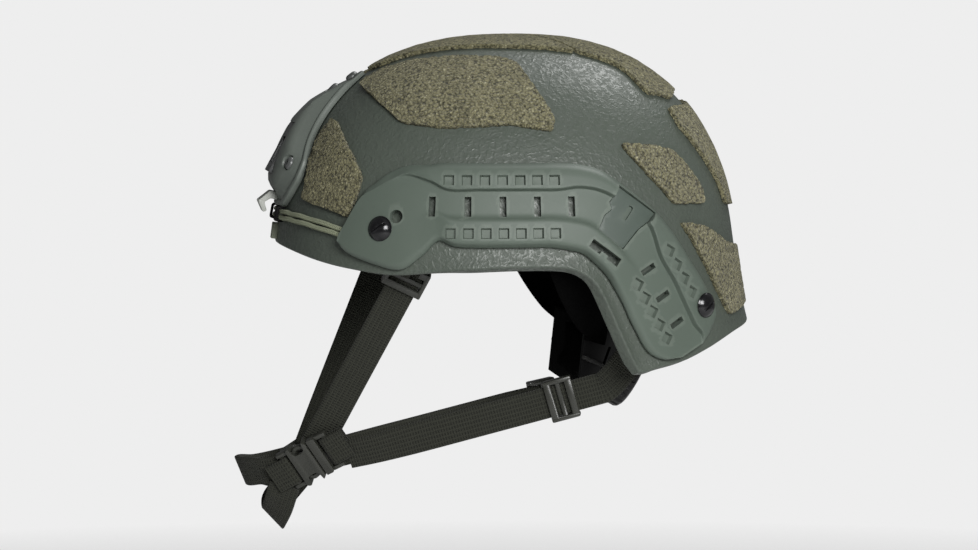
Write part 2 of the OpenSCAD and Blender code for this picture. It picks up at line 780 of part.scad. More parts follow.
module pad_side_front_left() {
    liner_pad(side_front_pad[0], side_front_pad[1], side_front_pad[2], side_front_pad[3]);
}

module pad_side_front_right() {
    mirror([1, 0, 0]) pad_side_front_left();
}

module pad_side_rear_left() {
    liner_pad(side_rear_pad[0], side_rear_pad[1], side_rear_pad[2], side_rear_pad[3]);
}

module pad_side_rear_right() {
    mirror([1, 0, 0]) pad_side_rear_left();
}

module hook_disc(view, at) {
    laid(view, oval(at, 14, 12, 10), disc_profile);
}

module hook_discs() {
    color([0.13, 0.13, 0.13]) {
        for (p = pad_places)
            hook_disc(p[1], p[2]);
        both_sides() {
            hook_disc(side_front_pad[0], side_front_pad[1]);
            hook_disc(side_rear_pad[0], side_rear_pad[1]);
        }
    }
}

// Webbing and bands: stations are [centre, direction across, face direction]
function band_ring(s, wide, thick) = let (w = unit(s[1]) * wide / 2, f = unit(s[2]) * thick / 2)
    [s[0] - w - f, s[0] + w - f, s[0] + w + f, s[0] - w + f];
module band(stations, wide, thick) {
    lofted([for (s = stations) band_ring(s, wide, thick)]);
}

// Headband inside the brow and temples
band_lift = tab_lift - (web_thick + band_thick) / 2 - soft_gap;
band_steps = 22;
band_end_az = 104;
function band_station(i) = let (
    az = mix(-band_end_az, band_end_az, i / band_steps),
    p0 = dome_ray(az, rim_el(az)),
    p = dome_ray(az, rim_el(az) + (band_high / 2 + 6.5) / norm(p0 - [0, 0, belt_z]) * 57.3),
    n = dome_normal(p)
) [skin(p, band_lift), cross(n, unit(cross([0, 0, 1], n))), n];

module headband() {
    color([0.09, 0.09, 0.09])
        band([for (i = [0 : band_steps]) band_station(i)], band_high, band_thick);
}

// Nape cradle: a curved band across the back of the head
dial_axis = [0, cos(dial_tilt), -sin(dial_tilt)];
dial_up = [0, sin(dial_tilt), cos(dial_tilt)];
dial_at = [0, 75, -66];
housing_thick = 7;
knob_back = dial_at - dial_axis * knob_thick;
housing_back = knob_back - dial_axis * (housing_thick + 0.3);
cradle_mid = housing_back - dial_axis * (cradle_thick / 2 + 0.1);
cradle_steps = 16;
cradle_sweep = 78;
function cradle_station(i, inset = 0) = let (
    a = mix(-cradle_sweep, cradle_sweep, i / cradle_steps),
    deep = 40,
    lift = 14 * (1 - cos(a))
) [
    cradle_mid + [(cradle_half - inset) * sin(a), -deep * (1 - cos(a)), lift] - dial_axis * inset * cos(a),
    -mix(dial_up, [0, 0, 1], 1 - cos(a)),
    unit([sin(a) * deep / cradle_half * 2, cos(a) * cos(dial_tilt), -cos(a) * sin(dial_tilt)])
];
function cradle_width(i) = let (a = mix(-cradle_sweep, cradle_sweep, i / cradle_steps)) mix(22, cradle_high, cos(a));

module nape_cradle() {
    color([0.1, 0.1, 0.1])
        lofted([for (i = [0 : cradle_steps]) band_ring(cradle_station(i), cradle_width(i), cradle_thick)]);
}

module nape_pad() {
    inset = (cradle_thick + nape_pad_thick) / 2 + soft_gap + 0.5;
    color([0.08, 0.08, 0.08])
        lofted([for (i = [1 : cradle_steps - 1])
            band_ring(cradle_station(i, inset), cradle_width(i) - 6, nape_pad_thick * (0.55 + 0.45 * sin(i * 180 / cradle_steps)))]);
}

// Dial: housing on the cradle, spool inside, knob outside
module on_dial(at) {
    on_line(at, cross(dial_axis, [1, 0, 0]), dial_axis) children();
}

housing_d = knob_d - 6;
spool_room = 4.2;
module dial_housing() {
    color([0.07, 0.07, 0.07]) on_dial(housing_back)
        difference() {
            union() {
                cylinder(d = housing_d, h = housing_thick);
                translate([-housing_d / 2 - 6, -5, 0]) cube([housing_d + 12, 10, housing_thick - 1]);
            }
            translate([0, 0, 1.5]) cylinder(d = housing_d - 8, h = spool_room);
            translate([0, 0, -1]) cylinder(d = spindle_d + 2 * spindle_gap, h = housing_thick + 2);
            for (s = [-1, 1])
                translate([s * housing_d / 2, 0, 1.5 + spool_room / 2])
                    rotate([0, 90, 0]) cylinder(d = lace_d + 0.6, h = 16, center = true);
        }
}

module dial_spool() {
    run_gap = 0.25;
    color([0.6, 0.6, 0.6]) on_dial(housing_back)
        difference() {
            union() {
                translate([0, 0, 1.5 + run_gap]) cylinder(d = housing_d - 9, h = 0.6);
                translate([0, 0, 1.5 + run_gap]) cylinder(d = housing_d - 16, h = spool_room - 2 * run_gap);
                translate([0, 0, 1.5 + spool_room - run_gap - 0.6]) cylinder(d = housing_d - 9, h = 0.6);
                translate([0, 0, 0.2]) cylinder(d = spindle_d, h = housing_thick + 0.2);
            }
            cylinder(d = 3.2, h = 40, center = true);
        }
}

module dial_knob() {
    color([0.05, 0.05, 0.05]) on_dial(knob_back)
        difference() {
            rotate_extrude()
                polygon([
                    [1.6, 0.2], [knob_d / 2 - 2, 0.2], [knob_d / 2, 2], [knob_d / 2, knob_thick - 2.5],
                    [knob_d / 2 - 2.5, knob_thick], [10, knob_thick], [9, knob_thick - 1.5], [1.6, knob_thick - 1.5]
                ]);
            for (i = [0 : knob_grooves - 1])
                rotate([0, 0, i * 360 / knob_grooves])
                    translate([knob_d / 2 + 0.9, 0, -1]) cylinder(r = 1.9, h = knob_thick + 2, $fn = 16);
        }
}

module dial_screw() {
    color([0.3, 0.3, 0.3]) on_dial(knob_back) {
        translate([0, 0, knob_thick - 1.4]) difference() {
            cylinder(d = 6.4, h = 1.6);
            translate([0, 0, 1.2]) cube([7, 1.2, 1.2], center = true);
        }
        translate([0, 0, -6.5]) cylinder(d = 3, h = knob_thick + 5.5);
    }
}

// Fit laces from the dial's housing round the cradle to the headband's ends
lace_line = housing_back + dial_axis * (1.5 + spool_room / 2);
lace_lift = (cradle_thick + lace_d) / 2 + 0.6;
function cradle_outside(i) = let (s = cradle_station(i)) s[0] + s[2] * lace_lift;
band_end = band_station(band_steps)[0];
band_out = unit(band_end - band_station(band_steps - 1)[0]);
lace_points = concat(
    [lace_line + [14.5, 0, 0], lace_line + [24, 0, 0]],
    [for (i = [11 : 15]) cradle_outside(i)],
    [mix(cradle_outside(16), band_end, 0.35), band_end + band_out * 9, band_end + band_out * 0.8]
);
module fit_laces() {
    color([0.16, 0.16, 0.16]) both_sides()
        lofted(cord_rings(lace_points, [for (p = lace_points) [0.3, 0.2, 1]], lace_d / 2, 8));
}

// Frames: an origin with its x, y and z directions
function frame_of(at, along, face) = let (y = unit(along), z = unit(face - y * (face * y))) [at, cross(y, z), y, z];
function in_frame(f, p) = f[0] + f[1] * p[0] + f[2] * p[1] + f[3] * p[2];
function leaving(f, p, goal, reach) = let (a = in_frame(f, p), d = goal - a, flat = unit(d - f[3] * (d * f[3])))
    [a, a + flat * reach];

// Webbing through points, each with the direction its outer face looks
function strip(points, faces) = let (n = len(points)) [for (i = [0 : n - 1])
    let (run = unit(points[min(n - 1, i + 1)] - points[max(0, i - 1)]), w = unit(cross(faces[i], run)))
    [points[i], w, cross(run, w)]];
module webbing(points, faces, wide = web_wide) {
    color([0.18, 0.18, 0.15]) band(strip(points, faces), wide, web_thick);
}

// Webbing folded round a bar of a frame; the tails leave towards side
module web_fold(f, bar_y, side, tail_z) {
    r = bar_d / 2 + 0.2 + web_thick / 2;
    arc = [for (a = [90 : 20 : 270]) [bar_y + side * r * cos(a), r * sin(a)]];
    path = concat([[bar_y + side * fold_tail, tail_z]], arc, [[bar_y + side * fold_tail, -tail_z]]);
    faces = concat([f[3]], [for (a = [90 : 20 : 270]) f[2] * side * cos(a) + f[3] * sin(a)], [-f[3]]);
    webbing([for (p = path) in_frame(f, [0, p[0], p[1]])], faces);
}

// Harness places on the near side; the far side's are mirrored
bar_d = 4;
fold_tail = 12;
web_lie = web_thick / 2 + 0.15;
near_frame = frame_of([30, -140.5, -115.5], [0.4, 0.83, 0.47], [0.95, -0.05, -0.25]);
far_frame = frame_of([36, -118, -94], [0.4, 0.83, 0.47], [0.95, -0.05, -0.25]);
plate_half = 1.6;
far_lie = plate_half + soft_gap + web_thick / 2;
male_bar = female_long + 11;
strap_top = [84, -78.5, -4];
slider_at = [72, 24, -69];
front_starts = [
    leaving(near_frame, [-1.5, 15.5, -female_thick / 2 - soft_gap - web_thick / 2], strap_top, 20),
    leaving(far_frame, [-4, 4, -far_lie - web_thick - soft_gap], strap_top, 20)
];
rear_starts = [
    leaving(near_frame, [8, male_bar + 7, 0], slider_at, 16),
    leaving(far_frame, [3, 4, -far_lie], slider_at, 20)
];
harness_frames = [near_frame, far_frame];
function side_face(run) = unit([1, 0, 0] - run * run[0]);
function front_run(k) = unit(strap_top - front_starts[k][1]);
function rear_run(k) = unit(slider_at - rear_starts[k][1]);

module front_strap(k) {
    a = front_starts[k];
    near_face = harness_frames[k][3];
    far_face = side_face(front_run(k));
    top = strap_top - front_run(k) * 0.8;
    webbing(
        [a[0], mix(a[0], a[1], 0.5), a[1], mix(a[1], top, 0.25), mix(a[1], top, 0.5), mix(a[1], top, 0.75), top],
        [near_face, near_face, near_face, far_face, far_face, far_face, far_face]
    );
}

module front_strap_left() {
    front_strap(0);
}

module front_strap_right() {
    mirror([1, 0, 0]) front_strap(1);
}

// The rear strap runs through its slider and up to the rear bolt
slider_play = 12;
rear_line = [[86, -32], [92, -25], [98, -18.5], [103, -13], [108, -7]];
module rear_strap(k) {
    a = rear_starts[k];
    run = rear_run(k);
    near_face = harness_frames[k][3];
    mid_face = side_face(run);
    straight = slider_at + run * (slider_play + slider_long / 2 + 1);
    skin_points = [for (p = rear_line) skin(side_point(p[0], p[1]), tab_lift)];
    skin_faces = [for (p = rear_line) dome_normal(side_point(p[0], p[1]))];
    difference() {
        webbing(
            concat(
                [a[0], a[1], mix(a[1], slider_at, 0.4), mix(a[1], slider_at, 0.8), straight,
                    mix(straight, skin_points[0], 0.45) + [1, 1, -2]],
                skin_points
            ),
            concat([near_face, near_face, mid_face, mid_face, mid_face, mid_face], skin_faces)
        );
        on_skin("side", rear_bolt) bolt_bore(20);
    }
}

module rear_strap_left() {
    rear_strap(0);
}

module rear_strap_right() {
    mirror([1, 0, 0]) rear_strap(1);
}

// A slider or ladder-lock: webbing passes inside the end bars and over the middle one
module slider_body(long) {
    inside = web_wide + 2 * web_gap;
    outer = inside + 6;
    lift = web_thick / 2 + web_gap;
    bar_rise = bar_thick * 0.8;
    for (s = [-1, 1])
        translate([s * (inside + 3) / 2, 0, 0]) cube([3, long, 2 * lift + 2 * bar_rise], center = true);
    for (s = [-1, 1])
        translate([0, s * (long - bar_thick) / 2, lift + bar_rise / 2])
            cube([outer, bar_thick * 1.3, bar_rise], center = true);
    translate([0, 0, -lift - bar_rise / 2]) cube([outer, bar_thick, bar_rise], center = true);
}

module rear_slider(k) {
    color([0.16, 0.16, 0.15])
        on_line(slider_at, rear_run(k), side_face(rear_run(k))) slider_body(slider_long);
}

module rear_slider_left() {
    rear_slider(0);
}

module rear_slider_right() {
    mirror([1, 0, 0]) rear_slider(1);
}

// Ladder-lock under the rim at the top of each front strap
lock_long = 17;
module front_lock(k) {
    color([0.16, 0.16, 0.15])
        on_line(strap_top, front_run(k), side_face(front_run(k))) slider_body(lock_long);
}

module front_lock_left() {
    front_lock(0);
}

module front_lock_right() {
    mirror([1, 0, 0]) front_lock(1);
}

// Narrow webbing tabs from the front bolts inside the shell down to the locks
tab_wide = 10;
tab_line = [[-97, 43.5], [-93, 36], [-88.5, 26], [-84.5, 16], [-82, 10]];
module strap_tab(k) {
    run = front_run(k);
    lock = frame_of(strap_top, run, side_face(run));
    points = [for (p = tab_line) skin(side_point(p[0], p[1]), tab_lift)];
    faces = [for (p = tab_line) dome_normal(side_point(p[0], p[1]))];
    foot = leaving(lock, [0, 5, -web_lie - 0.3], points[len(points) - 1], 6);
    difference() {
        webbing(concat(points, [foot[1], foot[0]]), concat(faces, [lock[3], lock[3]]), tab_wide);
        on_skin("side", front_bolt) bolt_bore(20);
    }
}

module strap_tabs() {
    strap_tab(0);
    mirror([1, 0, 0]) strap_tab(1);
}

// Chin buckle: y runs from the female's bar to the male's bar
cavity_thick = female_thick - 2 * buckle_wall;
cavity_wide = female_wide - 6;
cavity_back = 7;
prong_wide = 4.2;
male_start = female_long + 1.2;
cheek = 2.6;
cheek_in = web_wide / 2 + 0.6;
cheek_thick = bar_d + 1.2;

module on_buckle() {
    on_line(near_frame[0], near_frame[2], near_frame[3]) children();
}

module webbing_bar(bar_y, reach_from, reach_to) {
    translate([0, bar_y, 0]) rotate([0, 90, 0]) cylinder(d = bar_d, h = 2 * cheek_in + 2, center = true);
    for (s = [-1, 1])
        translate([s * (cheek_in + cheek / 2), (reach_from + reach_to) / 2, 0])
            cube([cheek, reach_to - reach_from, cheek_thick], center = true);
}

module buckle_female() {
    half = female_wide / 2;
    color([0.2, 0.2, 0.19]) on_buckle() {
        difference() {
            translate([0, 0, -female_thick / 2]) linear_extrude(height = female_thick)
                polygon([
                    [-half + 1, 5], [half - 1, 5], [half, 6.5], [half, female_long - 2], [half - 2, female_long],
                    [2 - half, female_long], [-half, female_long - 2], [-half, 6.5]
                ]);
            // Cavity for the prongs, open towards the male
            translate([-cavity_wide / 2, cavity_back, -cavity_thick / 2]) cube([cavity_wide, female_long, cavity_thick]);
            // Side windows where the prong heads show
            for (s = [-1, 1])
                translate([s * half, 12.5, 0]) cube([9, 7.4, female_thick + 2], center = true);
        }
        webbing_bar(0, -2.6, 5.5);
    }
}

module buckle_male() {
    side = cavity_wide / 2 - prong_gap;
    thick = cavity_thick - 2 * prong_gap;
    base = female_wide / 2 - 1.2;
    color([0.2, 0.2, 0.19]) on_buckle() {
        // Two hooked prongs and the centre guide
        translate([0, 0, -thick / 2]) linear_extrude(height = thick) {
            for (s = [-1, 1])
                polygon([
                    [s * (side - prong_wide), male_start], [s * side, male_start], [s * (side - 0.9), 17],
                    [s * side, 15.6], [s * side, 11], [s * (side - 2), 8.2], [s * (side - prong_wide + 0.6), 8.2],
                    [s * (side - prong_wide), 12]
                ]);
            polygon([[-2, male_start], [2, male_start], [1.4, 10], [-1.4, 10]]);
        }
        translate([0, 0, -female_thick / 2 + 0.5]) linear_extrude(height = female_thick - 1)
            polygon([
                [-base, male_start - 0.6], [base, male_start - 0.6], [base, male_start + 4],
                [base - 1, male_start + 5], [1 - base, male_start + 5], [-base, male_start + 4]
            ]);
        webbing_bar(male_bar, male_start + 4.5, male_bar + 2.6);
    }
}

// Webbing loops sewn round the buckle's two bars
module buckle_loop() {
    web_fold(near_frame, male_bar, 1, web_thick + soft_gap);
}

module chin_loop() {
    web_fold(near_frame, 0, -1, web_lie + web_thick + 0.25);
}

// Chin webbing from the buckle round the chin to the far-side plate
function across(p) = [-p[0], p[1], p[2]];
module chin_strap(start, near_goal, chin, far_goal, finish, chin_face) {
    a = leaving(near_frame, start, near_goal, 9);
    b = leaving(far_frame, finish, far_goal, 16);
    n = len(chin);
    points = concat(a, [near_goal], chin, [across(far_goal), across(b[1]), across(b[0])]);
    near_z = near_frame[3];
    faces = concat(
        [near_z, near_z, unit(mix(near_z, chin_face, 0.3))],
        [for (p = chin) unit(chin_face + [p[0] * 0.045, 0, 0])],
        [across(unit(mix(near_z, chin_face, 0.3))), across(near_z), across(near_z)]
    );
    webbing(points, faces);
}

module chin_strap_front() {
    chin_strap(
        [-2.2, -5.8, -web_lie], [19, -160, -117.4],
        [[11, -166, -118.4], [0, -168.5, -118.8], [-11, -166, -118.2]],
        [21, -157, -115.4], [-2, 6, far_lie], [0, -0.925, -0.38]
    );
}

module chin_strap_under() {
    chin_strap(
        [7, -8.5, web_lie], [17.5, -149.8, -139],
        [[9.5, -151.7, -145.4], [0, -151.7, -147.8], [-9.5, -151.2, -145.6]],
        [18.5, -148, -139.6], [4, 6, far_lie + web_thick + soft_gap], [0, -0.73, -0.68]
    );
}

// Far-side junction plate where the chin webbing meets the harness
module chin_joint_right() {
    color([0.2, 0.2, 0.19])
        mirror([1, 0, 0]) on_line(far_frame[0], far_frame[2], far_frame[3])
            difference() {
                translate([0, 0, -plate_half]) linear_extrude(height = 2 * plate_half)
                    polygon([[-13, -11], [-10, -14], [10, -14], [13, -11], [13, 11], [10, 14], [-10, 14], [-13, 11]]);
                for (y = [-8, 8])
                    translate([0, y, 0]) cube([web_wide + 1, 4, 8], center = true);
            }
}

// assembly

shell();
loop_temple_left();
loop_temple_right();
loop_side_left();
loop_side_right();
loop_crown();
loop_crown_tail();
loop_rear();
loop_rear_side_left();
loop_rear_side_right();
loop_nape_left();
loop_nape_right();
rail_left();
rail_right();
rail_insert_left();
rail_insert_right();
rail_screws();
rail_nuts();
shroud();
shroud_plate();
shroud_screws();
shroud_nuts();
shroud_hook();
bungee_left();
bungee_right();
bungee_rings();
pad_crown();
pad_front();
pad_rear();
pad_side_front_left();
pad_side_front_right();
pad_side_rear_left();
pad_side_rear_right();
hook_discs();
headband();
nape_cradle();
nape_pad();
dial_housing();
dial_spool();
dial_knob();
dial_screw();
fit_laces();
front_strap_left();
front_strap_right();
rear_strap_left();
rear_strap_right();
rear_slider_left();
rear_slider_right();
front_lock_left();
front_lock_right();
strap_tabs();
buckle_female();
buckle_male();
buckle_loop();
chin_loop();
chin_strap_front();
chin_strap_under();
chin_joint_right();
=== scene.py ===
"""Looks of a combat helmet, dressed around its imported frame.

Lengths in this file are millimetres until a mesh is written, front is -Y, the
wearer's left is +X and up is +Z, as in the frame.
"""
import logging
import math
from contextlib import contextmanager
from dataclasses import dataclass, field
from enum import Enum
from typing import Iterator, Sequence

import bpy
import numpy as np
from mathutils import Matrix, Vector


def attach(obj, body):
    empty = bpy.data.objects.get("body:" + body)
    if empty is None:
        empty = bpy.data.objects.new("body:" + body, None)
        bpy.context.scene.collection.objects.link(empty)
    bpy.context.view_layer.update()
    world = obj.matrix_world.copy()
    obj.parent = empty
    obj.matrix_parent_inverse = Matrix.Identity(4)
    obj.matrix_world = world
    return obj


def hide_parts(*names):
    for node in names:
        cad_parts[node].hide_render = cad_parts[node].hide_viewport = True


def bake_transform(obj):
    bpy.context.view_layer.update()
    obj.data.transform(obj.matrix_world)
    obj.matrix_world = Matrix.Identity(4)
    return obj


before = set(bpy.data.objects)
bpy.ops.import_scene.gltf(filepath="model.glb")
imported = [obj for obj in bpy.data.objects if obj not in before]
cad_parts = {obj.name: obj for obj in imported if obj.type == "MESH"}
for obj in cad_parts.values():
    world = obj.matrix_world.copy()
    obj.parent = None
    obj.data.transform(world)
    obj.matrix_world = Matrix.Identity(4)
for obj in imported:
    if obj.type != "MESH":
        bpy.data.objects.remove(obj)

LOG = logging.getLogger("helmet")
MM = 0.001
WELD_GAP = 0.002
PAD_CELL = 5.0
PAD_PRESSURE = 4.0
PAD_FRAMES = 20
Array = np.ndarray
Colour = tuple[float, float, float]
Piece = bpy.types.Object
Tree = bpy.types.NodeTree
Node = bpy.types.Node
Socket = bpy.types.NodeSocket
Outputs = bpy.types.bpy_prop_collection


class Body(Enum):
    """Bodies of the frame that pieces ride on."""

    HELMET = "helmet"
    DIAL = "dial"
    BUCKLE = "buckle"
    SLIDER_LEFT = "slider_left"
    SLIDER_RIGHT = "slider_right"


class Slot(Enum):
    """Material slots of the record."""

    SHELL = "shell_laminate"
    LOOP = "loop_panel"
    RAIL = "rail_polymer"
    SCREW = "black_screw"
    NUT = "steel_nut"
    PLATE = "dark_plate"
    HOOK = "pale_hook"
    BUNGEE = "bungee"
    POLYMER = "black_polymer"
    PAD = "pad_fabric"
    LACE = "lace"
    WEBBING = "webbing"
    BUCKLE = "buckle_polymer"


class View(Enum):
    """Side from which a flat outline is laid on the dome."""

    SIDE = "side"
    TOP = "top"
    FRONT = "front"
    BACK = "back"


# Numbers


def unit(v: Array) -> Array:
    """Returns vectors scaled to length one along the last axis."""
    v = np.asarray(v, float)
    return v / np.maximum(np.linalg.norm(v, axis=-1, keepdims=True), 1e-12)


def mix(a: Array, b: Array, t: Array) -> Array:
    """Returns the blend of a and b at share t."""
    return a + (b - a) * t


def ease(t: Array) -> Array:
    """Returns a smooth step of t between 0 and 1."""
    s = np.clip(t, 0.0, 1.0)
    return s * s * (3.0 - 2.0 * s)


def through(points: Sequence, count: int) -> Array:
    """Samples a smooth curve through points at an even spacing.

    Args:
        points: Rows whose first three numbers, or all if fewer, are a place.
        count: How many samples to return.

    Returns:
        An array of count rows.
    """
    p = np.asarray(points, float)
    ext = np.vstack([2 * p[0] - p[1], p, 2 * p[-1] - p[-2]])
    gaps = np.linalg.norm(np.diff(ext[:, :3], axis=0), axis=1)
    knots = np.concatenate([[0.0], np.cumsum(np.sqrt(np.maximum(gaps, 1e-6)))])
    rows = []
    for i in range(1, len(ext) - 2):
        t = np.linspace(knots[i], knots[i + 1], 20, endpoint=False)[:, None]
        k = knots[i - 1:i + 3]
        a = [mix(ext[i - 1 + j], ext[i + j], (t - k[j]) / (k[j + 1] - k[j])) for j in (0, 1, 2)]
        b = [mix(a[j], a[j + 1], (t - k[j]) / (k[j + 2] - k[j])) for j in (0, 1)]
        rows.append(mix(b[0], b[1], (t - k[1]) / (k[2] - k[1])))
    fine = np.vstack(rows + [p[-1:]])
    run = np.concatenate([[0.0], np.cumsum(np.linalg.norm(np.diff(fine[:, :3], axis=0), axis=1))])
    at = np.linspace(0.0, run[-1], count)
    return np.stack([np.interp(at, run, fine[:, c]) for c in range(fine.shape[1])], axis=1)


def run_length(points: Array) -> float:
    """Returns the length of a line through points."""
    return float(np.linalg.norm(np.diff(points, axis=0), axis=1).sum())


def spaced(outline: Sequence, step: float) -> Array:
    """Returns a closed outline with points at most step apart."""
    o = np.asarray(outline, float)
    rows = []
    for p, q in zip(o, np.roll(o, -1, axis=0)):
        k = max(1, math.ceil(np.linalg.norm(q - p) / step))
        rows += [mix(p, q, j / k) for j in range(k)]
    return np.array(rows)


def softened(outline: Sequence, radius: float | Sequence[float], steps: int = 4) -> Array:
    """Rounds the corners of a flat closed outline.

    Args:
        outline: Corner points.
        radius: How far along each edge a corner is taken off.
        steps: Points on each rounded corner, less one.

    Returns:
        The rounded outline.
    """
    o = np.asarray(outline, float)
    n = len(o)
    radii = np.broadcast_to(np.asarray(radius, float), (n,))
    rows = []
    for i, v in enumerate(o):
        p, q = o[i - 1], o[(i + 1) % n]
        a = v + unit(p - v) * min(radii[i], np.linalg.norm(p - v) * 0.46)
        b = v + unit(q - v) * min(radii[i], np.linalg.norm(q - v) * 0.46)
        for t in np.linspace(0.0, 1.0, steps + 1):
            rows.append((1 - t) ** 2 * a + 2 * t * (1 - t) * v + t * t * b)
    return np.array(rows)


def oblong(a: float, b: float) -> list[list[float]]:
    """Returns the corners of a flat oblong of half sizes a and b."""
    return [[-a, -b], [a, -b], [a, b], [-a, b]]


# The dome


@dataclass(frozen=True)
class Dome:
    """The shell's outer skin, which everything else is laid on."""

    half_width: float = 120.0
    front_reach: float = 148.0
    back_reach: float = 136.0
    crown_rise: float = 157.0
    belt_z: float = -11.0
    side_power: float = 2.45
    width_power: float = 2.3
    skirt_drop: float = 400.0
    wall: float = 8.0
    nape_flare: float = 8.0
    ear_flare: float = 2.5
    brow_z: float = 21.5
    temple_z: float = 7.5
    ear_z: float = 12.5
    corner: tuple[float, float] = (60.0, -50.5)
    nape_z: float = -26.5

    @property
    def rim_knots(self) -> Array:
        """Returns the rim's height at places along the helmet."""
        y, z = self.corner
        brow, temple, ear, nape = self.brow_z, self.temple_z, self.ear_z, self.nape_z
        return np.array([
            [-self.front_reach, brow], [-128, mix(temple, brow, 0.5)], [-110, mix(temple, brow, 0.22)],
            [-84, temple], [-50, mix(temple, ear, 0.65)], [-12, ear], [12, ear - 0.3], [22, ear - 2.2],
            [y - 29.5, ear - 7], [y - 23, ear - 15], [y - 11, z + 22.5], [y - 4, z + 7.5], [y, z],
            [y + 12, mix(z, nape, 0.08)], [y + 28, mix(z, nape, 0.22)], [y + 44, mix(z, nape, 0.49)],
            [y + 62, mix(z, nape, 0.85)], [self.back_reach, nape],
        ])

    def rim_z(self, y: Array) -> Array:
        """Returns the rim's height at each place along the helmet."""
        k = self.rim_knots
        n = len(k)
        lo, hi = np.maximum(np.arange(n) - 1, 0), np.minimum(np.arange(n) + 1, n - 1)
        slope = (k[hi, 1] - k[lo, 1]) / (k[hi, 0] - k[lo, 0])
        i = np.clip(np.searchsorted(k[:, 0], y, side="left") - 1, 0, n - 2)
        w = k[i + 1, 0] - k[i, 0]
        t = np.clip((y - k[i, 0]) / w, 0.0, 1.0)
        return ((2 * t**3 - 3 * t**2 + 1) * k[i, 1] + (t**3 - 2 * t**2 + t) * slope[i] * w
                + (3 * t**2 - 2 * t**3) * k[i + 1, 1] + (t**3 - t**2) * slope[i + 1] * w)

    def level(self, p: Array) -> Array:
        """Returns the dome's level at each point, which is 1 on its surface."""
        x, y, z = p[..., 0], p[..., 1], p[..., 2]
        reach = np.where(y < 0, self.front_reach, self.back_reach)
        rise = np.where(z > self.belt_z, self.crown_rise, self.skirt_drop)
        side, wide = self.side_power, self.width_power
        rho = (np.abs(y / reach) ** side + np.abs((z - self.belt_z) / rise) ** side) ** (wide / side)
        return np.abs(x / self.half_width) ** wide + rho

    def normal(self, p: Array) -> Array:
        """Returns the outward direction at each point."""
        p = np.asarray(p, float)
        steps = 0.4 * np.eye(3)
        return unit(np.stack([self.level(p + s) - self.level(p - s) for s in steps], axis=-1))

    def seat(self, view: View, at: Array) -> Array:
        """Puts flat points on the dome as seen from a side.

        Args:
            view: Side that the points are drawn from.
            at: Flat points, (y, z) from the side, (x, y) from the top and
                (x, z) from the front and back.

        Returns:
            Points on the dome.
        """
        at = np.asarray(at, float)
        u, v = at[..., 0], at[..., 1]
        m, k = self.width_power, self.side_power
        rise = np.where(v > self.belt_z, self.crown_rise, self.skirt_drop)
        if view is View.SIDE:
            reach = np.where(u < 0, self.front_reach, self.back_reach)
            rho = (np.abs(u / reach) ** k + np.abs((v - self.belt_z) / rise) ** k) ** (m / k)
            return np.stack([self.half_width * np.maximum(0, 1 - rho) ** (1 / m), u, v], axis=-1)
        waist = np.maximum(0, 1 - np.abs(u / self.half_width) ** m) ** (k / m)
        if view is View.TOP:
            reach = np.where(v < 0, self.front_reach, self.back_reach)
            high = np.maximum(0, waist - np.abs(v / reach) ** k) ** (1 / k)
            return np.stack([u, v, self.belt_z + self.crown_rise * high], axis=-1)
        deep = np.maximum(0, waist - np.abs((v - self.belt_z) / rise) ** k) ** (1 / k)
        far = -self.front_reach if view is View.FRONT else self.back_reach
        return np.stack([u, far * deep, v], axis=-1)

    def flare(self, p: Array) -> Array:
        """Returns how far the nape and the ear roll outwards at each point."""
        y = p[..., 1]
        d = np.maximum(0, p[..., 2] - self.rim_z(y))
        nape = self.nape_flare * ease((y - 80) / 55) * np.maximum(0, 1 - d / 60) ** 2
        span = ease((y + 75) / 40) * (1 - ease((y - 85) / 40))
        return nape + self.ear_flare * span * np.maximum(0, 1 - d / 14) ** 2

    def skin(self, p: Array, h: Array | float) -> Array:
        """Returns points lifted off the shell's outer face by h."""
        return p + self.normal(p) * (np.asarray(h) + self.flare(p))[..., None]

    def laid(self, view: View, at: Array, h: Array | float) -> Array:
        """Returns flat points laid on the shell at a height h."""
        return self.skin(self.seat(view, at), h)

    def ray(self, az: Array, el: Array) -> Array:
        """Returns dome points by compass angle and height angle, in degrees."""
        a, e = np.radians(az), np.radians(el)
        d = np.stack([np.cos(e) * np.sin(a), -np.cos(e) * np.cos(a), np.sin(e)], axis=-1)
        low = np.array([0, 0, self.belt_z])
        return low + d * (self.level(d + low) ** (-1 / self.width_power))[..., None]

    def rim_el(self, az: Array) -> Array:
        """Returns the height angle of the rim at each compass angle."""
        lo, hi = np.full_like(az, -48.0), np.full_like(az, 40.0)
        for _ in range(22):
            mid = (lo + hi) / 2
            p = self.ray(az, mid)
            under = p[..., 2] < self.rim_z(p[..., 1])
            lo, hi = np.where(under, mid, lo), np.where(under, hi, mid)
        return (lo + hi) / 2

    def frame_at(self, view: View, at: Sequence[float], h: float = 0.0, turn: float = 0.0) -> Matrix:
        """Returns a placing with x and y along the skin and z outwards.

        Args:
            view: Side that the point is drawn from.
            at: Flat point.
            h: Height above the skin.
            turn: Turn about the outward direction, in degrees.

        Returns:
            A 4 x 4 matrix in millimetres.
        """
        p = self.seat(view, np.array(at, float))
        n = self.normal(p)
        x = unit(np.cross([0, 0, 1], n))
        return placing(self.skin(p, h), x, np.cross(n, x), n) @ Matrix.Rotation(math.radians(turn), 4, "Z")


def placing(at: Sequence[float], x: Sequence[float], y: Sequence[float], z: Sequence[float]) -> Matrix:
    """Returns the matrix that puts the origin at a place with given axes."""
    return Matrix([[x[i], y[i], z[i], at[i]] for i in range(3)] + [[0, 0, 0, 1]])


def along_line(at: Sequence[float], along: Sequence[float], face: Sequence[float]) -> Matrix:
    """Returns a placing with y along a line and z nearest to a face direction."""
    y = unit(np.asarray(along, float))
    f = np.asarray(face, float)
    z = unit(f - y * float(f @ y))
    return placing(at, np.cross(y, z), y, z)


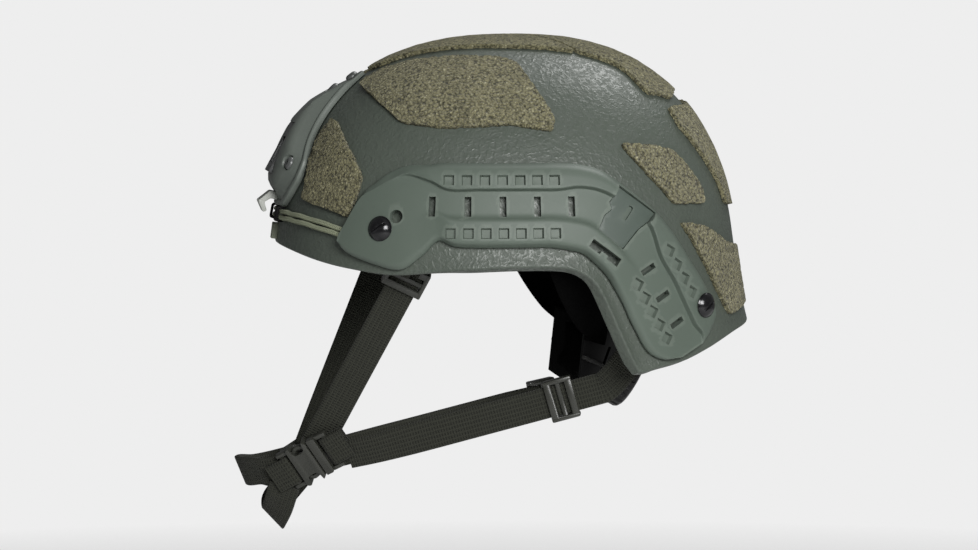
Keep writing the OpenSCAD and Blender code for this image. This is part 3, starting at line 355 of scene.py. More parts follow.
DOME = Dome()
MIRROR = Matrix.Diagonal((-1, 1, 1, 1))
UPRIGHT = Matrix(((0, 0, 1, 0), (1, 0, 0, 0), (0, 1, 0, 0), (0, 0, 0, 1)))


# Modelling


def deselect() -> None:
    """Leaves edit mode and deselects everything."""
    if bpy.context.object and bpy.context.object.mode != "OBJECT":
        bpy.ops.object.mode_set(mode="OBJECT")
    bpy.ops.object.select_all(action="DESELECT")


def activate(obj: Piece) -> None:
    """Makes one object the only selected one and the active one."""
    deselect()
    obj.select_set(True)
    bpy.context.view_layer.objects.active = obj


@contextmanager
def editing(obj: Piece, select: str = "SELECT") -> Iterator[None]:
    """Opens an object in edit mode with all or nothing selected.

    Args:
        obj: Mesh to edit.
        select: SELECT or DESELECT.
    """
    activate(obj)
    bpy.ops.object.mode_set(mode="EDIT")
    bpy.ops.mesh.select_all(action=select)
    yield
    bpy.ops.object.mode_set(mode="OBJECT")


def coords(obj: Piece) -> Array:
    """Returns a mesh's vertex places in millimetres."""
    co = np.empty(len(obj.data.vertices) * 3)
    obj.data.vertices.foreach_get("co", co)
    return co.reshape(-1, 3) / MM


def move_to(obj: Piece, points: Array) -> None:
    """Writes a mesh's vertex places, given in millimetres."""
    obj.data.vertices.foreach_set("co", (np.asarray(points, float) * MM).ravel())
    obj.data.update()


def place(obj: Piece, matrix: Matrix) -> Piece:
    """Moves a mesh's vertices by a matrix in millimetres.

    Args:
        obj: Mesh to move.
        matrix: Placing, whose shift is in millimetres.

    Returns:
        The same object.
    """
    m = np.array(matrix)
    move_to(obj, coords(obj) @ m[:3, :3].T + m[:3, 3])
    if np.linalg.det(m[:3, :3]) < 0:
        obj.data.flip_normals()
    return obj


def copied(obj: Piece, name: str, matrix: Matrix) -> Piece:
    """Returns a copy with its own mesh, placed by a matrix.

    Args:
        obj: Piece to copy.
        name: Name of the copy.
        matrix: Placing in millimetres.

    Returns:
        The copy.
    """
    deselect()
    twin = obj.copy()
    twin.data = obj.data.copy()
    twin.name = name
    bpy.context.collection.objects.link(twin)
    return place(twin, matrix)


def joined(name: str, parts: Sequence[Piece]) -> Piece:
    """Joins meshes into one object of a given name."""
    deselect()
    for part in parts:
        part.select_set(True)
    bpy.context.view_layer.objects.active = parts[0]
    if len(parts) > 1:
        bpy.ops.object.join()
    parts[0].name = name
    return parts[0]


def with_twin(name: str, obj: Piece) -> Piece:
    """Joins a left piece and its mirrored copy into one."""
    return joined(name, [obj, copied(obj, "far", MIRROR)])


def stamped(name: str, obj: Piece, places: Sequence[Matrix]) -> Piece:
    """Joins copies of a piece, one at each placing."""
    return joined(name, [copied(obj, "set", matrix) for matrix in places])


def mirrored(places: Sequence[Matrix]) -> list[Matrix]:
    """Returns each placing followed by its mirror image."""
    return [side @ matrix for matrix in places for side in (Matrix.Identity(4), MIRROR)]


def weld(obj: Piece) -> Piece:
    """Merges doubled vertices and turns the faces outwards."""
    with editing(obj):
        bpy.ops.mesh.remove_doubles(threshold=WELD_GAP * MM)
        bpy.ops.mesh.normals_make_consistent(inside=False)
    return obj


def modify(obj: Piece, kind: str, **settings: object) -> Piece:
    """Adds a modifier and applies it.

    Args:
        obj: Mesh to change.
        kind: Modifier type.
        **settings: Its properties.

    Returns:
        The same object.
    """
    activate(obj)
    modifier = obj.modifiers.new(kind.lower(), kind)
    for key, value in settings.items():
        setattr(modifier, key, value)
    bpy.ops.object.modifier_apply(modifier=modifier.name)
    return obj


def thicken(obj: Piece, thick: float, offset: float = 0.0) -> Piece:
    """Gives a sheet its thickness, offset 1 outwards and -1 inwards."""
    return modify(obj, "SOLIDIFY", thickness=thick * MM, offset=offset, use_even_offset=True)


def ease_edges(obj: Piece, width: float, segments: int = 2, angle: float = 35.0) -> Piece:
    """Bevels the edges sharper than an angle."""
    return modify(obj, "BEVEL", width=width * MM, segments=segments, limit_method="ANGLE",
                  angle_limit=math.radians(angle), use_clamp_overlap=True, miter_outer="MITER_ARC")


def smooth(obj: Piece, angle: float = 35.0) -> Piece:
    """Shades a mesh smooth but for edges sharper than an angle."""
    activate(obj)
    bpy.ops.object.shade_smooth_by_angle(angle=math.radians(angle))
    return obj


def carve(obj: Piece, cutters: Sequence[Piece], operation: str = "DIFFERENCE") -> Piece:
    """Cuts shapes out of a mesh, or adds them, and removes them.

    Args:
        obj: Mesh to change.
        cutters: Closed meshes.
        operation: DIFFERENCE, UNION or INTERSECT.

    Returns:
        The changed mesh.
    """
    tool = joined("cutter", list(cutters))
    modify(obj, "BOOLEAN", operation=operation, object=tool, solver="EXACT", use_self=True)
    bpy.data.objects.remove(tool)
    return obj


def fused(obj: Piece, parts: Sequence[Piece]) -> Piece:
    """Adds closed shapes to a mesh, one after the other."""
    for part in parts:
        carve(obj, [part], "UNION")
    return obj


def on_dome(obj: Piece, view: View, at: Sequence[float], h: float = 0.0, turn: float = 0.0) -> Piece:
    """Sets a piece on the dome, as Dome.frame_at says."""
    return place(obj, DOME.frame_at(view, at, h, turn))


def surface(name: str, points: Array, size: tuple[float, float] = (1.0, 1.0)) -> Piece:
    """Lays a grid over a table of points and closes what meets.

    Args:
        name: Name of the piece.
        points: Places as rows, columns and x, y, z.
        size: Width and length in metres that the UV map spans.

    Returns:
        The welded surface.
    """
    rows, cols = points.shape[:2]
    deselect()
    bpy.ops.mesh.primitive_grid_add(x_subdivisions=cols - 1, y_subdivisions=rows - 1, size=2.0, calc_uvs=True)
    obj = bpy.context.object
    obj.name = name
    flat = coords(obj) * MM
    i = np.rint((flat[:, 0] + 1) / 2 * (cols - 1)).astype(int)
    j = np.rint((flat[:, 1] + 1) / 2 * (rows - 1)).astype(int)
    move_to(obj, points[j, i])
    layer = obj.data.uv_layers[0].data
    uv = np.empty(len(layer) * 2)
    layer.foreach_get("uv", uv)
    layer.foreach_set("uv", (uv.reshape(-1, 2) * size).ravel())
    return weld(obj)


def cap_ends(obj: Piece) -> Piece:
    """Fills the open ends of a swept mesh."""
    with editing(obj, "DESELECT"):
        bpy.ops.mesh.select_mode(type="EDGE")
        bpy.ops.mesh.select_non_manifold(extend=False)
        bpy.ops.mesh.fill_holes(sides=0)
        bpy.ops.mesh.select_all(action="SELECT")
        bpy.ops.mesh.normals_make_consistent(inside=False)
        bpy.ops.mesh.select_mode(type="VERT")
    return obj


def sweep(name: str, path: Array, faces: Array, section: Array, share: Array | float = 1.0) -> Piece:
    """Carries a closed section along a path.

    Args:
        name: Name of the piece.
        path: Places along the run.
        faces: Direction that the section's height points to at each place.
        section: Closed outline as (across, height), once round.
        share: Width at each place as a share of the section's.

    Returns:
        A closed mesh whose UV map is in metres, round and along.
    """
    run = unit(np.gradient(path, axis=0))
    wide = unit(np.cross(faces, run))
    high = np.cross(run, wide)
    ring = np.vstack([section, section[:1]])
    table = path[:, None] + (wide * share)[:, None] * ring[None, :, :1] + high[:, None] * ring[None, :, 1:]
    girth = run_length(ring) * MM
    return cap_ends(surface(name, table, (girth, run_length(path) * MM)))


def tape(name: str, points: Sequence, faces: Sequence, wide: float | Sequence[float], thick: float,
         step: float = 2.2) -> Piece:
    """Lays a woven tape through points.

    Args:
        name: Name of the piece.
        points: Places along its run.
        faces: Direction that its outer face looks at each place.
        wide: Its width, or one for each place.
        thick: Its thickness.
        step: Length of its faces.

    Returns:
        A closed mesh whose UV map is in metres, round and along.
    """
    wide = np.broadcast_to(np.asarray(wide, float), (len(points),))
    rows = np.column_stack([np.array(points, float), np.array(faces, float), wide])
    rows = through(rows, max(4, round(run_length(rows[:, :3]) / step)))
    half, edge = wide.max() / 2, thick / 2
    section = spaced(softened(oblong(half, edge), edge * 0.9, 2), 1.6)
    return sweep(name, rows[:, :3], unit(rows[:, 3:6]), section, rows[:, 6:7] / wide.max())


def circle(radius: float, sides: int) -> Array:
    """Returns a round section."""
    a = np.arange(sides) * 2 * math.pi / sides
    return np.stack([radius * np.cos(a), radius * np.sin(a)], axis=1)


def slab(name: str, outline: Sequence, low: float, high: float, edge: float = 0.0) -> Piece:
    """Extrudes a flat outline and eases its edges.

    Args:
        name: Name of the piece.
        outline: Flat corner points in order.
        low: Height of the underside.
        high: Height of the top.
        edge: Width of the eased edges, or 0.

    Returns:
        The closed plate.
    """
    o = np.asarray(outline, float)
    deselect()
    bpy.ops.mesh.primitive_circle_add(vertices=len(o), radius=1.0, fill_type="NGON")
    obj = bpy.context.object
    obj.name = name
    move_to(obj, np.column_stack([o, np.full(len(o), low)]))
    with editing(obj):
        bpy.ops.mesh.extrude_region_move(TRANSFORM_OT_translate={"value": (0, 0, (high - low) * MM)})
        bpy.ops.mesh.select_all(action="SELECT")
        bpy.ops.mesh.normals_make_consistent(inside=False)
    if edge:
        ease_edges(obj, edge)
    return obj


def box(name: str, size: Sequence[float], at: Sequence[float] = (0, 0, 0), taper: float = 0.0,
        edge: float = 0.0) -> Piece:
    """Makes a block, wider at its top by a taper.

    Args:
        name: Name of the piece.
        size: Width, depth and height.
        at: Middle of the block.
        taper: How much wider and deeper the top is than the bottom.
        edge: Width of the eased edges, or 0.

    Returns:
        The block.
    """
    deselect()
    bpy.ops.mesh.primitive_cube_add(size=1.0)
    obj = bpy.context.object
    obj.name = name
    co = coords(obj) * MM
    grow = np.array(size, float) + np.where(co[:, 2:] > 0, 1, 0) * np.array([taper, taper, 0.0])
    move_to(obj, co * grow + np.array(at, float))
    if edge:
        ease_edges(obj, edge)
    return obj


def spun(name: str, profile: Sequence, steps: int = 48) -> Piece:
    """Spins a closed profile round the z axis.

    Args:
        name: Name of the piece.
        profile: Points as (radius, height) in order round the section.
        steps: Faces round.

    Returns:
        The closed turned piece.
    """
    p = np.asarray(profile, float)
    deselect()
    bpy.ops.mesh.primitive_circle_add(vertices=len(p), radius=1.0, fill_type="NOTHING")
    obj = bpy.context.object
    obj.name = name
    move_to(obj, np.column_stack([p[:, 0], np.zeros(len(p)), p[:, 1]]))
    with editing(obj):
        bpy.ops.mesh.spin(steps=steps, angle=2 * math.pi, center=(0, 0, 0), axis=(0, 0, 1))
        bpy.ops.mesh.select_all(action="SELECT")
        bpy.ops.mesh.remove_doubles(threshold=WELD_GAP * MM)
        bpy.ops.mesh.dissolve_degenerate()
        bpy.ops.mesh.select_all(action="SELECT")
        bpy.ops.mesh.normals_make_consistent(inside=False)
    return obj


def gridded(name: str, outline: Array, step: float) -> Piece:
    """Fills a flat outline and bisects it into cells about a step wide."""
    deselect()
    bpy.ops.mesh.primitive_circle_add(vertices=len(outline), radius=1.0, fill_type="NGON")
    obj = bpy.context.object
    obj.name = name
    move_to(obj, np.column_stack([outline, np.zeros(len(outline))]))
    low, high = outline.min(axis=0), outline.max(axis=0)
    with editing(obj):
        for axis in (0, 1):
            cuts = max(1, round((high[axis] - low[axis]) / step))
            for k in range(1, cuts):
                at, way = np.zeros(3), np.zeros(3)
                at[axis], way[axis] = mix(low[axis], high[axis], k / cuts) * MM + 1.3e-6, 1.0
                bpy.ops.mesh.select_all(action="SELECT")
                bpy.ops.mesh.bisect(plane_co=tuple(at), plane_no=tuple(way))
    return obj


def patch(name: str, view: View, outline: Array, low: float, high: float, step: float = 5.0,
          edge: float = 0.0) -> Piece:
    """Lays a plate of an outline on the dome.

    Args:
        name: Name of the piece.
        view: Side that the outline is drawn from.
        outline: Flat corner points in order.
        low: Height of its underside above the skin.
        high: Height of its top above the skin.
        step: Size of its cells.
        edge: Width of the eased edges, or 0.

    Returns:
        The closed plate, with a UV map in metres of the flat outline.
    """
    obj = gridded(name, outline, step)
    flat = coords(obj)[:, :2]
    while obj.data.uv_layers:
        obj.data.uv_layers.remove(obj.data.uv_layers[0])
    layer = obj.data.uv_layers.new(name="flat")
    index = np.empty(len(obj.data.loops), int)
    obj.data.loops.foreach_get("vertex_index", index)
    layer.data.foreach_set("uv", (flat[index] * MM).ravel())
    middle = (low + high) / 2
    move_to(obj, DOME.laid(view, flat, middle))
    thicken(obj, high - low)
    with editing(obj):
        bpy.ops.mesh.normals_make_consistent(inside=False)
    if edge:
        ease_edges(obj, edge, angle=50.0)
    return obj


# Finishes


def linear(colour: Colour) -> tuple[float, float, float, float]:
    """Returns a written 0 to 255 colour as the renderer's own numbers."""
    c = np.asarray(colour, float) / 255
    c = np.where(c <= 0.04045, c / 12.92, ((c + 0.055) / 1.055) ** 2.4)
    return (float(c[0]), float(c[1]), float(c[2]), 1.0)


class Wiring:
    """Adds nodes to one tree and links them."""

    def __init__(self, tree: Tree) -> None:
        """Keeps the tree and clears it."""
        self.tree = tree
        tree.nodes.clear()

    def node(self, kind: str, inputs: dict | None = None, **settings: object) -> Node:
        """Adds a node.

        Args:
            kind: Node type.
            inputs: Value or socket for each input by name or number.
            **settings: Its properties.

        Returns:
            The node.
        """
        made = self.tree.nodes.new(kind)
        for key, value in settings.items():
            setattr(made, key, value)
        for socket, value in (inputs or {}).items():
            if isinstance(value, Socket):
                self.tree.links.new(value, made.inputs[socket])
            else:
                made.inputs[socket].default_value = value
        return made

    def math(self, operation: str, a: object, b: object = 0.0, clamp: bool = False) -> Socket:
        """Adds an operation on two numbers and returns its result."""
        return self.node("ShaderNodeMath", {0: a, 1: b}, operation=operation, use_clamp=clamp).outputs[0]

    def add(self, a: object, b: object) -> Socket:
        """Returns the sum of two numbers."""
        return self.math("ADD", a, b)

    def times(self, a: object, b: object) -> Socket:
        """Returns the product of two numbers."""
        return self.math("MULTIPLY", a, b)

    def span(self, value: object, a: float, b: float, c: float = 0.0, d: float = 1.0) -> Socket:
        """Maps a value's range a to b onto c to d."""
        return self.node("ShaderNodeMapRange", {0: value, 1: a, 2: b, 3: c, 4: d}).outputs[0]

    def tint(self, share: object, a: object, b: object, blend: str = "MIX") -> Socket:
        """Blends two colours by a share and returns the result."""
        ends = {0: share, 6: a, 7: b}
        return self.node("ShaderNodeMix", ends, data_type="RGBA", blend_type=blend).outputs[2]

    def group(self, effect: "Effect", **inputs: object) -> Outputs:
        """Places a shared effect with its own values and returns its outputs."""
        return self.node("ShaderNodeGroup", inputs, node_tree=effect.tree()).outputs


class Effect(Enum):
    """Effects that several finishes share, each one node group."""

    PEEL = "orange_peel"
    GRAIN = "moulded_grain"
    MOTTLE = "colour_mottle"
    EDGE = "painted_edge_highlight"
    DUST = "top_dust"
    PILE = "loop_pile"
    RIB = "webbing_rib"

    def tree(self) -> Tree:
        """Returns the group, built the first time it is asked for."""
        ready = bpy.data.node_groups.get(self.value)
        return ready or EffectMaker(self.value).build(self)


class EffectMaker:
    """Builds one shared effect as a node group."""

    def __init__(self, name: str) -> None:
        """Starts an empty group."""
        self.tree = bpy.data.node_groups.new(name, "ShaderNodeTree")
        self.wiring = Wiring(self.tree)

    def sockets(self, *outputs: str, **inputs: object) -> Outputs:
        """Names the group's sockets.

        Args:
            *outputs: Its outputs; Colour is a colour and the others are numbers.
            **inputs: Default of each input; None makes it a vector.

        Returns:
            The outputs of the group's input node.
        """
        for name, value in inputs.items():
            kind = "NodeSocketVector" if value is None else (
                "NodeSocketColor" if isinstance(value, tuple) else "NodeSocketFloat")
            made = self.tree.interface.new_socket(name=name, in_out="INPUT", socket_type=kind)
            if value is not None:
                made.default_value = value
        for name in outputs:
            kind = "NodeSocketColor" if name == "Colour" else "NodeSocketFloat"
            self.tree.interface.new_socket(name=name, in_out="OUTPUT", socket_type=kind)
        return self.wiring.node("NodeGroupInput").outputs

    def leave(self, **values: Socket) -> Tree:
        """Links the group's outputs and returns it."""
        self.wiring.node("NodeGroupOutput", values)
        return self.tree

    def noise(self, vector: object, scale: object, detail: float = 2.0, rough: float = 0.5,
              distortion: object = 0.0) -> Socket:
        """Adds a noise and returns its value."""
        return self.wiring.node("ShaderNodeTexNoise", {
            "Vector": vector, "Scale": scale, "Detail": detail, "Roughness": rough, "Distortion": distortion,
        }).outputs[0]

    def build(self, effect: Effect) -> Tree:
        """Builds the group of one effect."""
        makers = {
            Effect.PEEL: self.peel, Effect.GRAIN: self.grain, Effect.MOTTLE: self.mottle,
            Effect.EDGE: self.edge, Effect.DUST: self.dust, Effect.PILE: self.pile, Effect.RIB: self.rib,
        }
        return makers[effect]()

    def peel(self) -> Tree:
        """Wrinkled spray finish: worm-like bumps a few millimetres long."""
        e = self.sockets("Height", "Hollow", Vector=None, Scale=360.0, Fine=0.25)
        w = self.wiring
        worm = self.noise(e["Vector"], e["Scale"], 1.5, 0.45, 1.1)
        blob = w.node("ShaderNodeTexVoronoi", {
            "Vector": e["Vector"], "Scale": w.times(e["Scale"], 0.9), "Smoothness": 0.7,
        }, feature="SMOOTH_F1").outputs[0]
        fine = self.noise(e["Vector"], w.times(e["Scale"], 4.5), 2.0)
        body = w.add(w.span(worm, 0.3, 0.7), w.times(w.span(blob, 0.0, 0.7, 1.0, 0.0), 0.5))
        height = w.add(body, w.times(fine, e["Fine"]))
        # Hollow marks the low parts of the peel; it darkens them as painted shade and makes them rougher.
        return self.leave(Height=height, Hollow=w.span(height, 1.0, 0.55, 0.0, 1.0))

    def grain(self) -> Tree:
        """Fine stipple of a moulded part."""
        e = self.sockets("Height", Vector=None, Scale=1500.0, Flow=0.3)
        w = self.wiring
        flow = self.noise(e["Vector"], w.times(e["Scale"], 0.06), 3.0, 0.6)
        stipple = self.noise(e["Vector"], e["Scale"], 2.0, 0.6)
        return self.leave(Height=w.add(stipple, w.times(flow, e["Flow"])))

    def mottle(self) -> Tree:
        """Slow drift of a colour's depth."""
        e = self.sockets("Colour", Vector=None, Colour=(0.1, 0.1, 0.1, 1.0), Scale=30.0, Spread=0.15)
        w = self.wiring
        drift = w.math("SUBTRACT", self.noise(e["Vector"], e["Scale"], 4.0, 0.6), 0.5)
        gain = w.add(1.0, w.times(w.times(drift, e["Spread"]), 4.0))
        grey = w.node("ShaderNodeCombineColor", {0: gain, 1: gain, 2: gain}).outputs[0]
        return self.leave(Colour=w.tint(1.0, e["Colour"], grey, "MULTIPLY"))

    def edge(self) -> Tree:
        """Painted highlight on the outer edges, broken up by noise."""
        e = self.sockets("Mask", Vector=None, Reach=0.06, Break=0.4, Scale=220.0)
        w = self.wiring
        point = w.node("ShaderNodeNewGeometry").outputs["Pointiness"]
        ridge = w.math("DIVIDE", w.math("SUBTRACT", point, 0.505), e["Reach"], clamp=True)
        breakup = w.span(self.noise(e["Vector"], e["Scale"], 4.0, 0.65), 0.38, 0.62)
        edge_highlight = w.math("SUBTRACT", 1.0, w.times(w.math("SUBTRACT", 1.0, breakup), e["Break"]))
        # Mask of the painted edge highlight: where the mesh is pointed, broken up by noise.
        return self.leave(Mask=w.math("MULTIPLY", ridge, edge_highlight, clamp=True))

    def dust(self) -> Tree:
        """Pale film on what faces up."""
        e = self.sockets("Mask", Vector=None, Amount=0.2, Scale=60.0)
        w = self.wiring
        normal = w.node("ShaderNodeNewGeometry").outputs["Normal"]
        up = w.node("ShaderNodeSeparateXYZ", {0: normal}).outputs[2]
        film = w.times(w.span(up, 0.2, 1.0), w.span(self.noise(e["Vector"], e["Scale"], 4.0, 0.6), 0.3, 0.8))
        return self.leave(Mask=w.times(film, e["Amount"]))

    def pile(self) -> Tree:
        """Matted loops: tufts, with painted shade in the gaps between them and painted highlights on their
        tips.
        """
        e = self.sockets("Height", "Gap", "Tip", Vector=None, Scale=620.0)
        w = self.wiring
        tuft = self.noise(e["Vector"], e["Scale"], 3.0, 0.7, 1.4)
        cell = w.node("ShaderNodeTexVoronoi", {"Vector": e["Vector"], "Scale": w.times(e["Scale"], 1.25)},
                      feature="F1").outputs[0]
        loop = w.add(w.times(w.span(tuft, 0.3, 0.7), 0.7), w.times(w.span(cell, 0.0, 0.75, 1.0, 0.0), 0.6))
        # Gap darkens the low parts as painted shade; Tip lightens the high parts as a painted highlight.
        return self.leave(Height=loop, Gap=w.span(loop, 0.62, 0.22), Tip=w.span(loop, 0.78, 1.15))

    def rib(self) -> Tree:
        """Woven tape: ribs across and warp threads along."""
        e = self.sockets("Height", "Groove", Vector=None, Pitch=0.0016, Thread=0.0011)
        w = self.wiring
        part = w.node("ShaderNodeSeparateXYZ", {0: e["Vector"]}).outputs
        turn = 2 * math.pi
        across = w.math("SINE", w.times(w.math("DIVIDE", part[1], e["Pitch"]), turn))
        column = w.math("DIVIDE", part[0], e["Thread"])
        shift = w.times(w.math("ROUND", column), 0.5)
        weft = w.math("SINE", w.times(w.add(w.math("DIVIDE", part[1], e["Pitch"]), shift), turn))
        warp = w.math("COSINE", w.times(column, turn))
        fuzz = self.noise(e["Vector"], 2600.0, 2.0)
        body = w.add(w.times(across, 0.5), w.add(w.times(weft, 0.3), w.times(warp, 0.25)))
        height = w.add(body, w.times(fuzz, 0.5))
        # Groove darkens the low parts of the weave as painted shade.
        return self.leave(Height=height, Groove=w.span(height, 0.2, -0.8))


@dataclass(frozen=True)
class Finish:
    """A material: slot, colours, gloss and the effects that give its texture."""

    name: str
    slot: Slot
    colour: Colour
    rough: float = 0.6
    specular: float = 0.25
    metallic: float = 0.0
    bump: float = 0.1
    spread: float = 0.12

    def material(self) -> bpy.types.Material:
        """Returns the material, built the first time it is asked for."""
        ready = bpy.data.materials.get(self.name)
        if ready:
            return ready
        made = bpy.data.materials.new(self.name)
        made.use_nodes = True
        w = Wiring(made.node_tree)
        spot = w.node("ShaderNodeTexCoord").outputs
        shader = w.node("ShaderNodeBsdfPrincipled", {
            "Roughness": self.rough, "Specular IOR Level": self.specular, "Metallic": self.metallic,
        })
        self.wire(w, spot, shader)
        w.node("ShaderNodeOutputMaterial", {"Surface": shader.outputs[0]})
        return made

    def wire(self, w: Wiring, spot: Outputs, shader: Node) -> None:
        """Links the finish's own texture to its shader.

        Args:
            w: Wiring of the material.
            spot: Texture coordinate outputs.
            shader: The Principled shader.
        """
        raise NotImplementedError

    def based(self, w: Wiring, vector: Socket, scale: float) -> Socket:
        """Returns the finish's colour with its slow drift."""
        return w.group(Effect.MOTTLE, Vector=vector, Colour=linear(self.colour), Scale=scale,
                       Spread=self.spread)["Colour"]

    def raise_by(self, w: Wiring, shader: Node, height: Socket, depth: float) -> None:
        """Feeds a height in units of depth millimetres to the shader."""
        bump = w.node("ShaderNodeBump", {"Height": height, "Distance": depth * MM, "Strength": 1.0})
        w.tree.links.new(bump.outputs[0], shader.inputs["Normal"])

    def link(self, w: Wiring, shader: Node, **values: Socket) -> None:
        """Links values to shader sockets named with underscores."""
        for name, value in values.items():
            w.tree.links.new(value, shader.inputs[name.replace("_", " ")])


@dataclass(frozen=True)
class SprayedPaint(Finish):
    """Wrinkle paint of the shell."""

    peel: float = 330.0

    def wire(self, w: Wiring, spot: Outputs, shader: Node) -> None:
        """Links peel, drift, painted shade in the peel's hollows and a dusty film."""
        at = spot["Object"]
        peel = w.group(Effect.PEEL, Vector=at, Scale=self.peel)
        base = self.based(w, at, 14.0)
        # Painted shade: the peel's hollows are darkened.
        low = w.tint(w.times(peel["Hollow"], 0.1), base, (0.02, 0.024, 0.021, 1.0))
        dust = w.group(Effect.DUST, Vector=at, Amount=0.06)[0]
        colour = w.tint(dust, low, (0.2, 0.21, 0.18, 1.0))
        rough = w.add(self.rough - 0.05, w.times(peel["Hollow"], 0.22))
        self.link(w, shader, Base_Color=colour, Roughness=rough)
        self.raise_by(w, shader, peel["Height"], self.bump)


@dataclass(frozen=True)
class Moulded(Finish):
    """Moulded polymer with grain and a painted highlight on its outer edges."""

    grain: float = 1400.0
    # Colour and share of the painted highlight on the outer edges.
    edge_highlight: Colour = (150.0, 158.0, 148.0)
    highlight_share: float = 0.14

    def wire(self, w: Wiring, spot: Outputs, shader: Node) -> None:
        """Links grain, drift and the painted edge highlight."""
        at = spot["Object"]
        grain = w.group(Effect.GRAIN, Vector=at, Scale=self.grain)[0]
        base = self.based(w, at, 22.0)
        edge = w.group(Effect.EDGE, Vector=at)[0]
        # Painted highlight: the outer edges are tinted towards a lighter colour.
        colour = w.tint(w.times(edge, self.highlight_share), base, linear(self.edge_highlight))
        rough = w.add(self.rough - 0.08, w.times(grain, 0.14))
        self.link(w, shader, Base_Color=colour, Roughness=rough)
        self.raise_by(w, shader, grain, self.bump)


@dataclass(frozen=True)
class LoopPile(Finish):
    """Fuzzy loop fabric of the panels."""

    # Colours of the painted shade between the tufts and of the painted highlight on their tips.
    gap: Colour = (40.0, 40.0, 28.0)
    tip: Colour = (204.0, 200.0, 168.0)
    tuft: float = 620.0
    sheen: float = 0.15

    def wire(self, w: Wiring, spot: Outputs, shader: Node) -> None:
        """Links tufts, the painted shade in their gaps and the painted highlights on their tips."""
        at = spot["Object"]
        pile = w.group(Effect.PILE, Vector=at, Scale=self.tuft)
        base = self.based(w, at, 60.0)
        # Painted shade in the gaps between tufts, then painted highlights on their tips.
        low = w.tint(w.times(pile["Gap"], 0.92), base, linear(self.gap))
        colour = w.tint(w.times(pile["Tip"], 0.95), low, linear(self.tip))
        shader.inputs["Sheen Weight"].default_value = self.sheen
        self.link(w, shader, Base_Color=colour)
        self.raise_by(w, shader, pile["Height"], self.bump)


@dataclass(frozen=True)
class Blacked(Finish):
    """Blackened steel with fine turning and scuffs."""

    def wire(self, w: Wiring, spot: Outputs, shader: Node) -> None:
        """Links scuffs and a painted edge highlight."""
        at = spot["Object"]
        grain = w.group(Effect.GRAIN, Vector=at, Scale=900.0, Flow=1.0)[0]
        edge = w.group(Effect.EDGE, Vector=at, Break=0.7)[0]
        # Painted highlight: the outer edges are tinted towards a lighter grey.
        colour = w.tint(w.times(edge, 0.35), self.based(w, at, 90.0), (0.25, 0.25, 0.26, 1.0))
        rough = w.add(self.rough - 0.06, w.times(grain, 0.12))
        self.link(w, shader, Base_Color=colour, Roughness=rough)
        self.raise_by(w, shader, grain, self.bump)


@dataclass(frozen=True)
class Webbing(Finish):
    """Woven tape, whose UV map is in metres."""

    pitch: float = 1.5
    thread: float = 1.05

    def wire(self, w: Wiring, spot: Outputs, shader: Node) -> None:
        """Links ribs, painted shade in their grooves and a slow drift."""
        rib = w.group(Effect.RIB, Vector=spot["UV"], Pitch=self.pitch * MM, Thread=self.thread * MM)
        base = self.based(w, spot["Object"], 45.0)
        dark = w.node("ShaderNodeHueSaturation", {"Value": 0.45, "Color": base}).outputs[0]
        # Painted shade: the grooves between the ribs are darkened.
        self.link(w, shader, Base_Color=w.tint(rib["Groove"], base, dark))
        shader.inputs["Sheen Weight"].default_value = 0.08
        self.raise_by(w, shader, rib["Height"], self.bump)


SHELL_PAINT = SprayedPaint("shell_wrinkle_paint", Slot.SHELL, (80, 87, 79),
                           rough=0.4, specular=0.42, bump=0.2, spread=0.02)
RAIL_POLYMER = Moulded("rail_moulded_polymer", Slot.RAIL, (88, 98, 89),
                       rough=0.48, specular=0.3, bump=0.02, spread=0.03)
INSERT_POLYMER = Moulded("insert_moulded_polymer", Slot.RAIL, (76, 86, 79),
                         rough=0.46, specular=0.3, bump=0.02, spread=0.03)
PANEL_PILE = LoopPile("panel_loop_pile", Slot.LOOP, (134, 130, 99),
                      rough=0.95, specular=0.05, bump=1.4, spread=0.12, tuft=470.0)
SCREW_BLACK = Blacked("screw_black_oxide", Slot.SCREW, (16, 16, 18),
                      rough=0.12, specular=0.6, metallic=0.3, bump=0.005)
SHROUD_POLYMER = Moulded("shroud_moulded_polymer", Slot.RAIL, (96, 102, 96),
                         rough=0.42, specular=0.4, bump=0.02, spread=0.03)
# Painted highlight: a pale plate stands in for the light on the brow front.
PAINTED_BROW_HIGHLIGHT = Moulded("painted_brow_highlight", Slot.RAIL, (120, 124, 108),
                   rough=0.6, specular=0.2, bump=0.02, spread=0.05)
PALE_METAL = Moulded("hook_cast_metal", Slot.HOOK, (168, 170, 164), rough=0.5, specular=0.3, bump=0.02)
PLATE_STEEL = Blacked("plate_dark_steel", Slot.PLATE, (44, 46, 44),
                      rough=0.32, specular=0.4, metallic=0.3, bump=0.01)
SCREW_DULL = Blacked("screw_dull_oxide", Slot.SCREW, (70, 74, 70),
                     rough=0.3, specular=0.5, metallic=0.3, bump=0.01)
NUT_STEEL = Blacked("nut_dark_steel", Slot.NUT, (40, 41, 42),
                    rough=0.35, specular=0.4, metallic=0.6, bump=0.01)
BLACK_POLYMER = Moulded("black_moulded_polymer", Slot.POLYMER, (9, 9, 9),
                        rough=0.6, specular=0.1, bump=0.02, edge_highlight=(22, 22, 22))
KNOB_POLYMER = Moulded("knob_moulded_polymer", Slot.POLYMER, (14, 14, 14),
                       rough=0.4, specular=0.3, bump=0.01, edge_highlight=(34, 34, 34))
BUCKLE_POLYMER = Moulded("buckle_moulded_polymer", Slot.BUCKLE, (48, 49, 44),
                         rough=0.3, specular=0.5, bump=0.005, edge_highlight=(84, 84, 78))
BRAID = Webbing("bungee_braid", Slot.BUNGEE, (150, 156, 130),
                rough=0.8, specular=0.1, bump=0.25, pitch=1.1, thread=0.9)
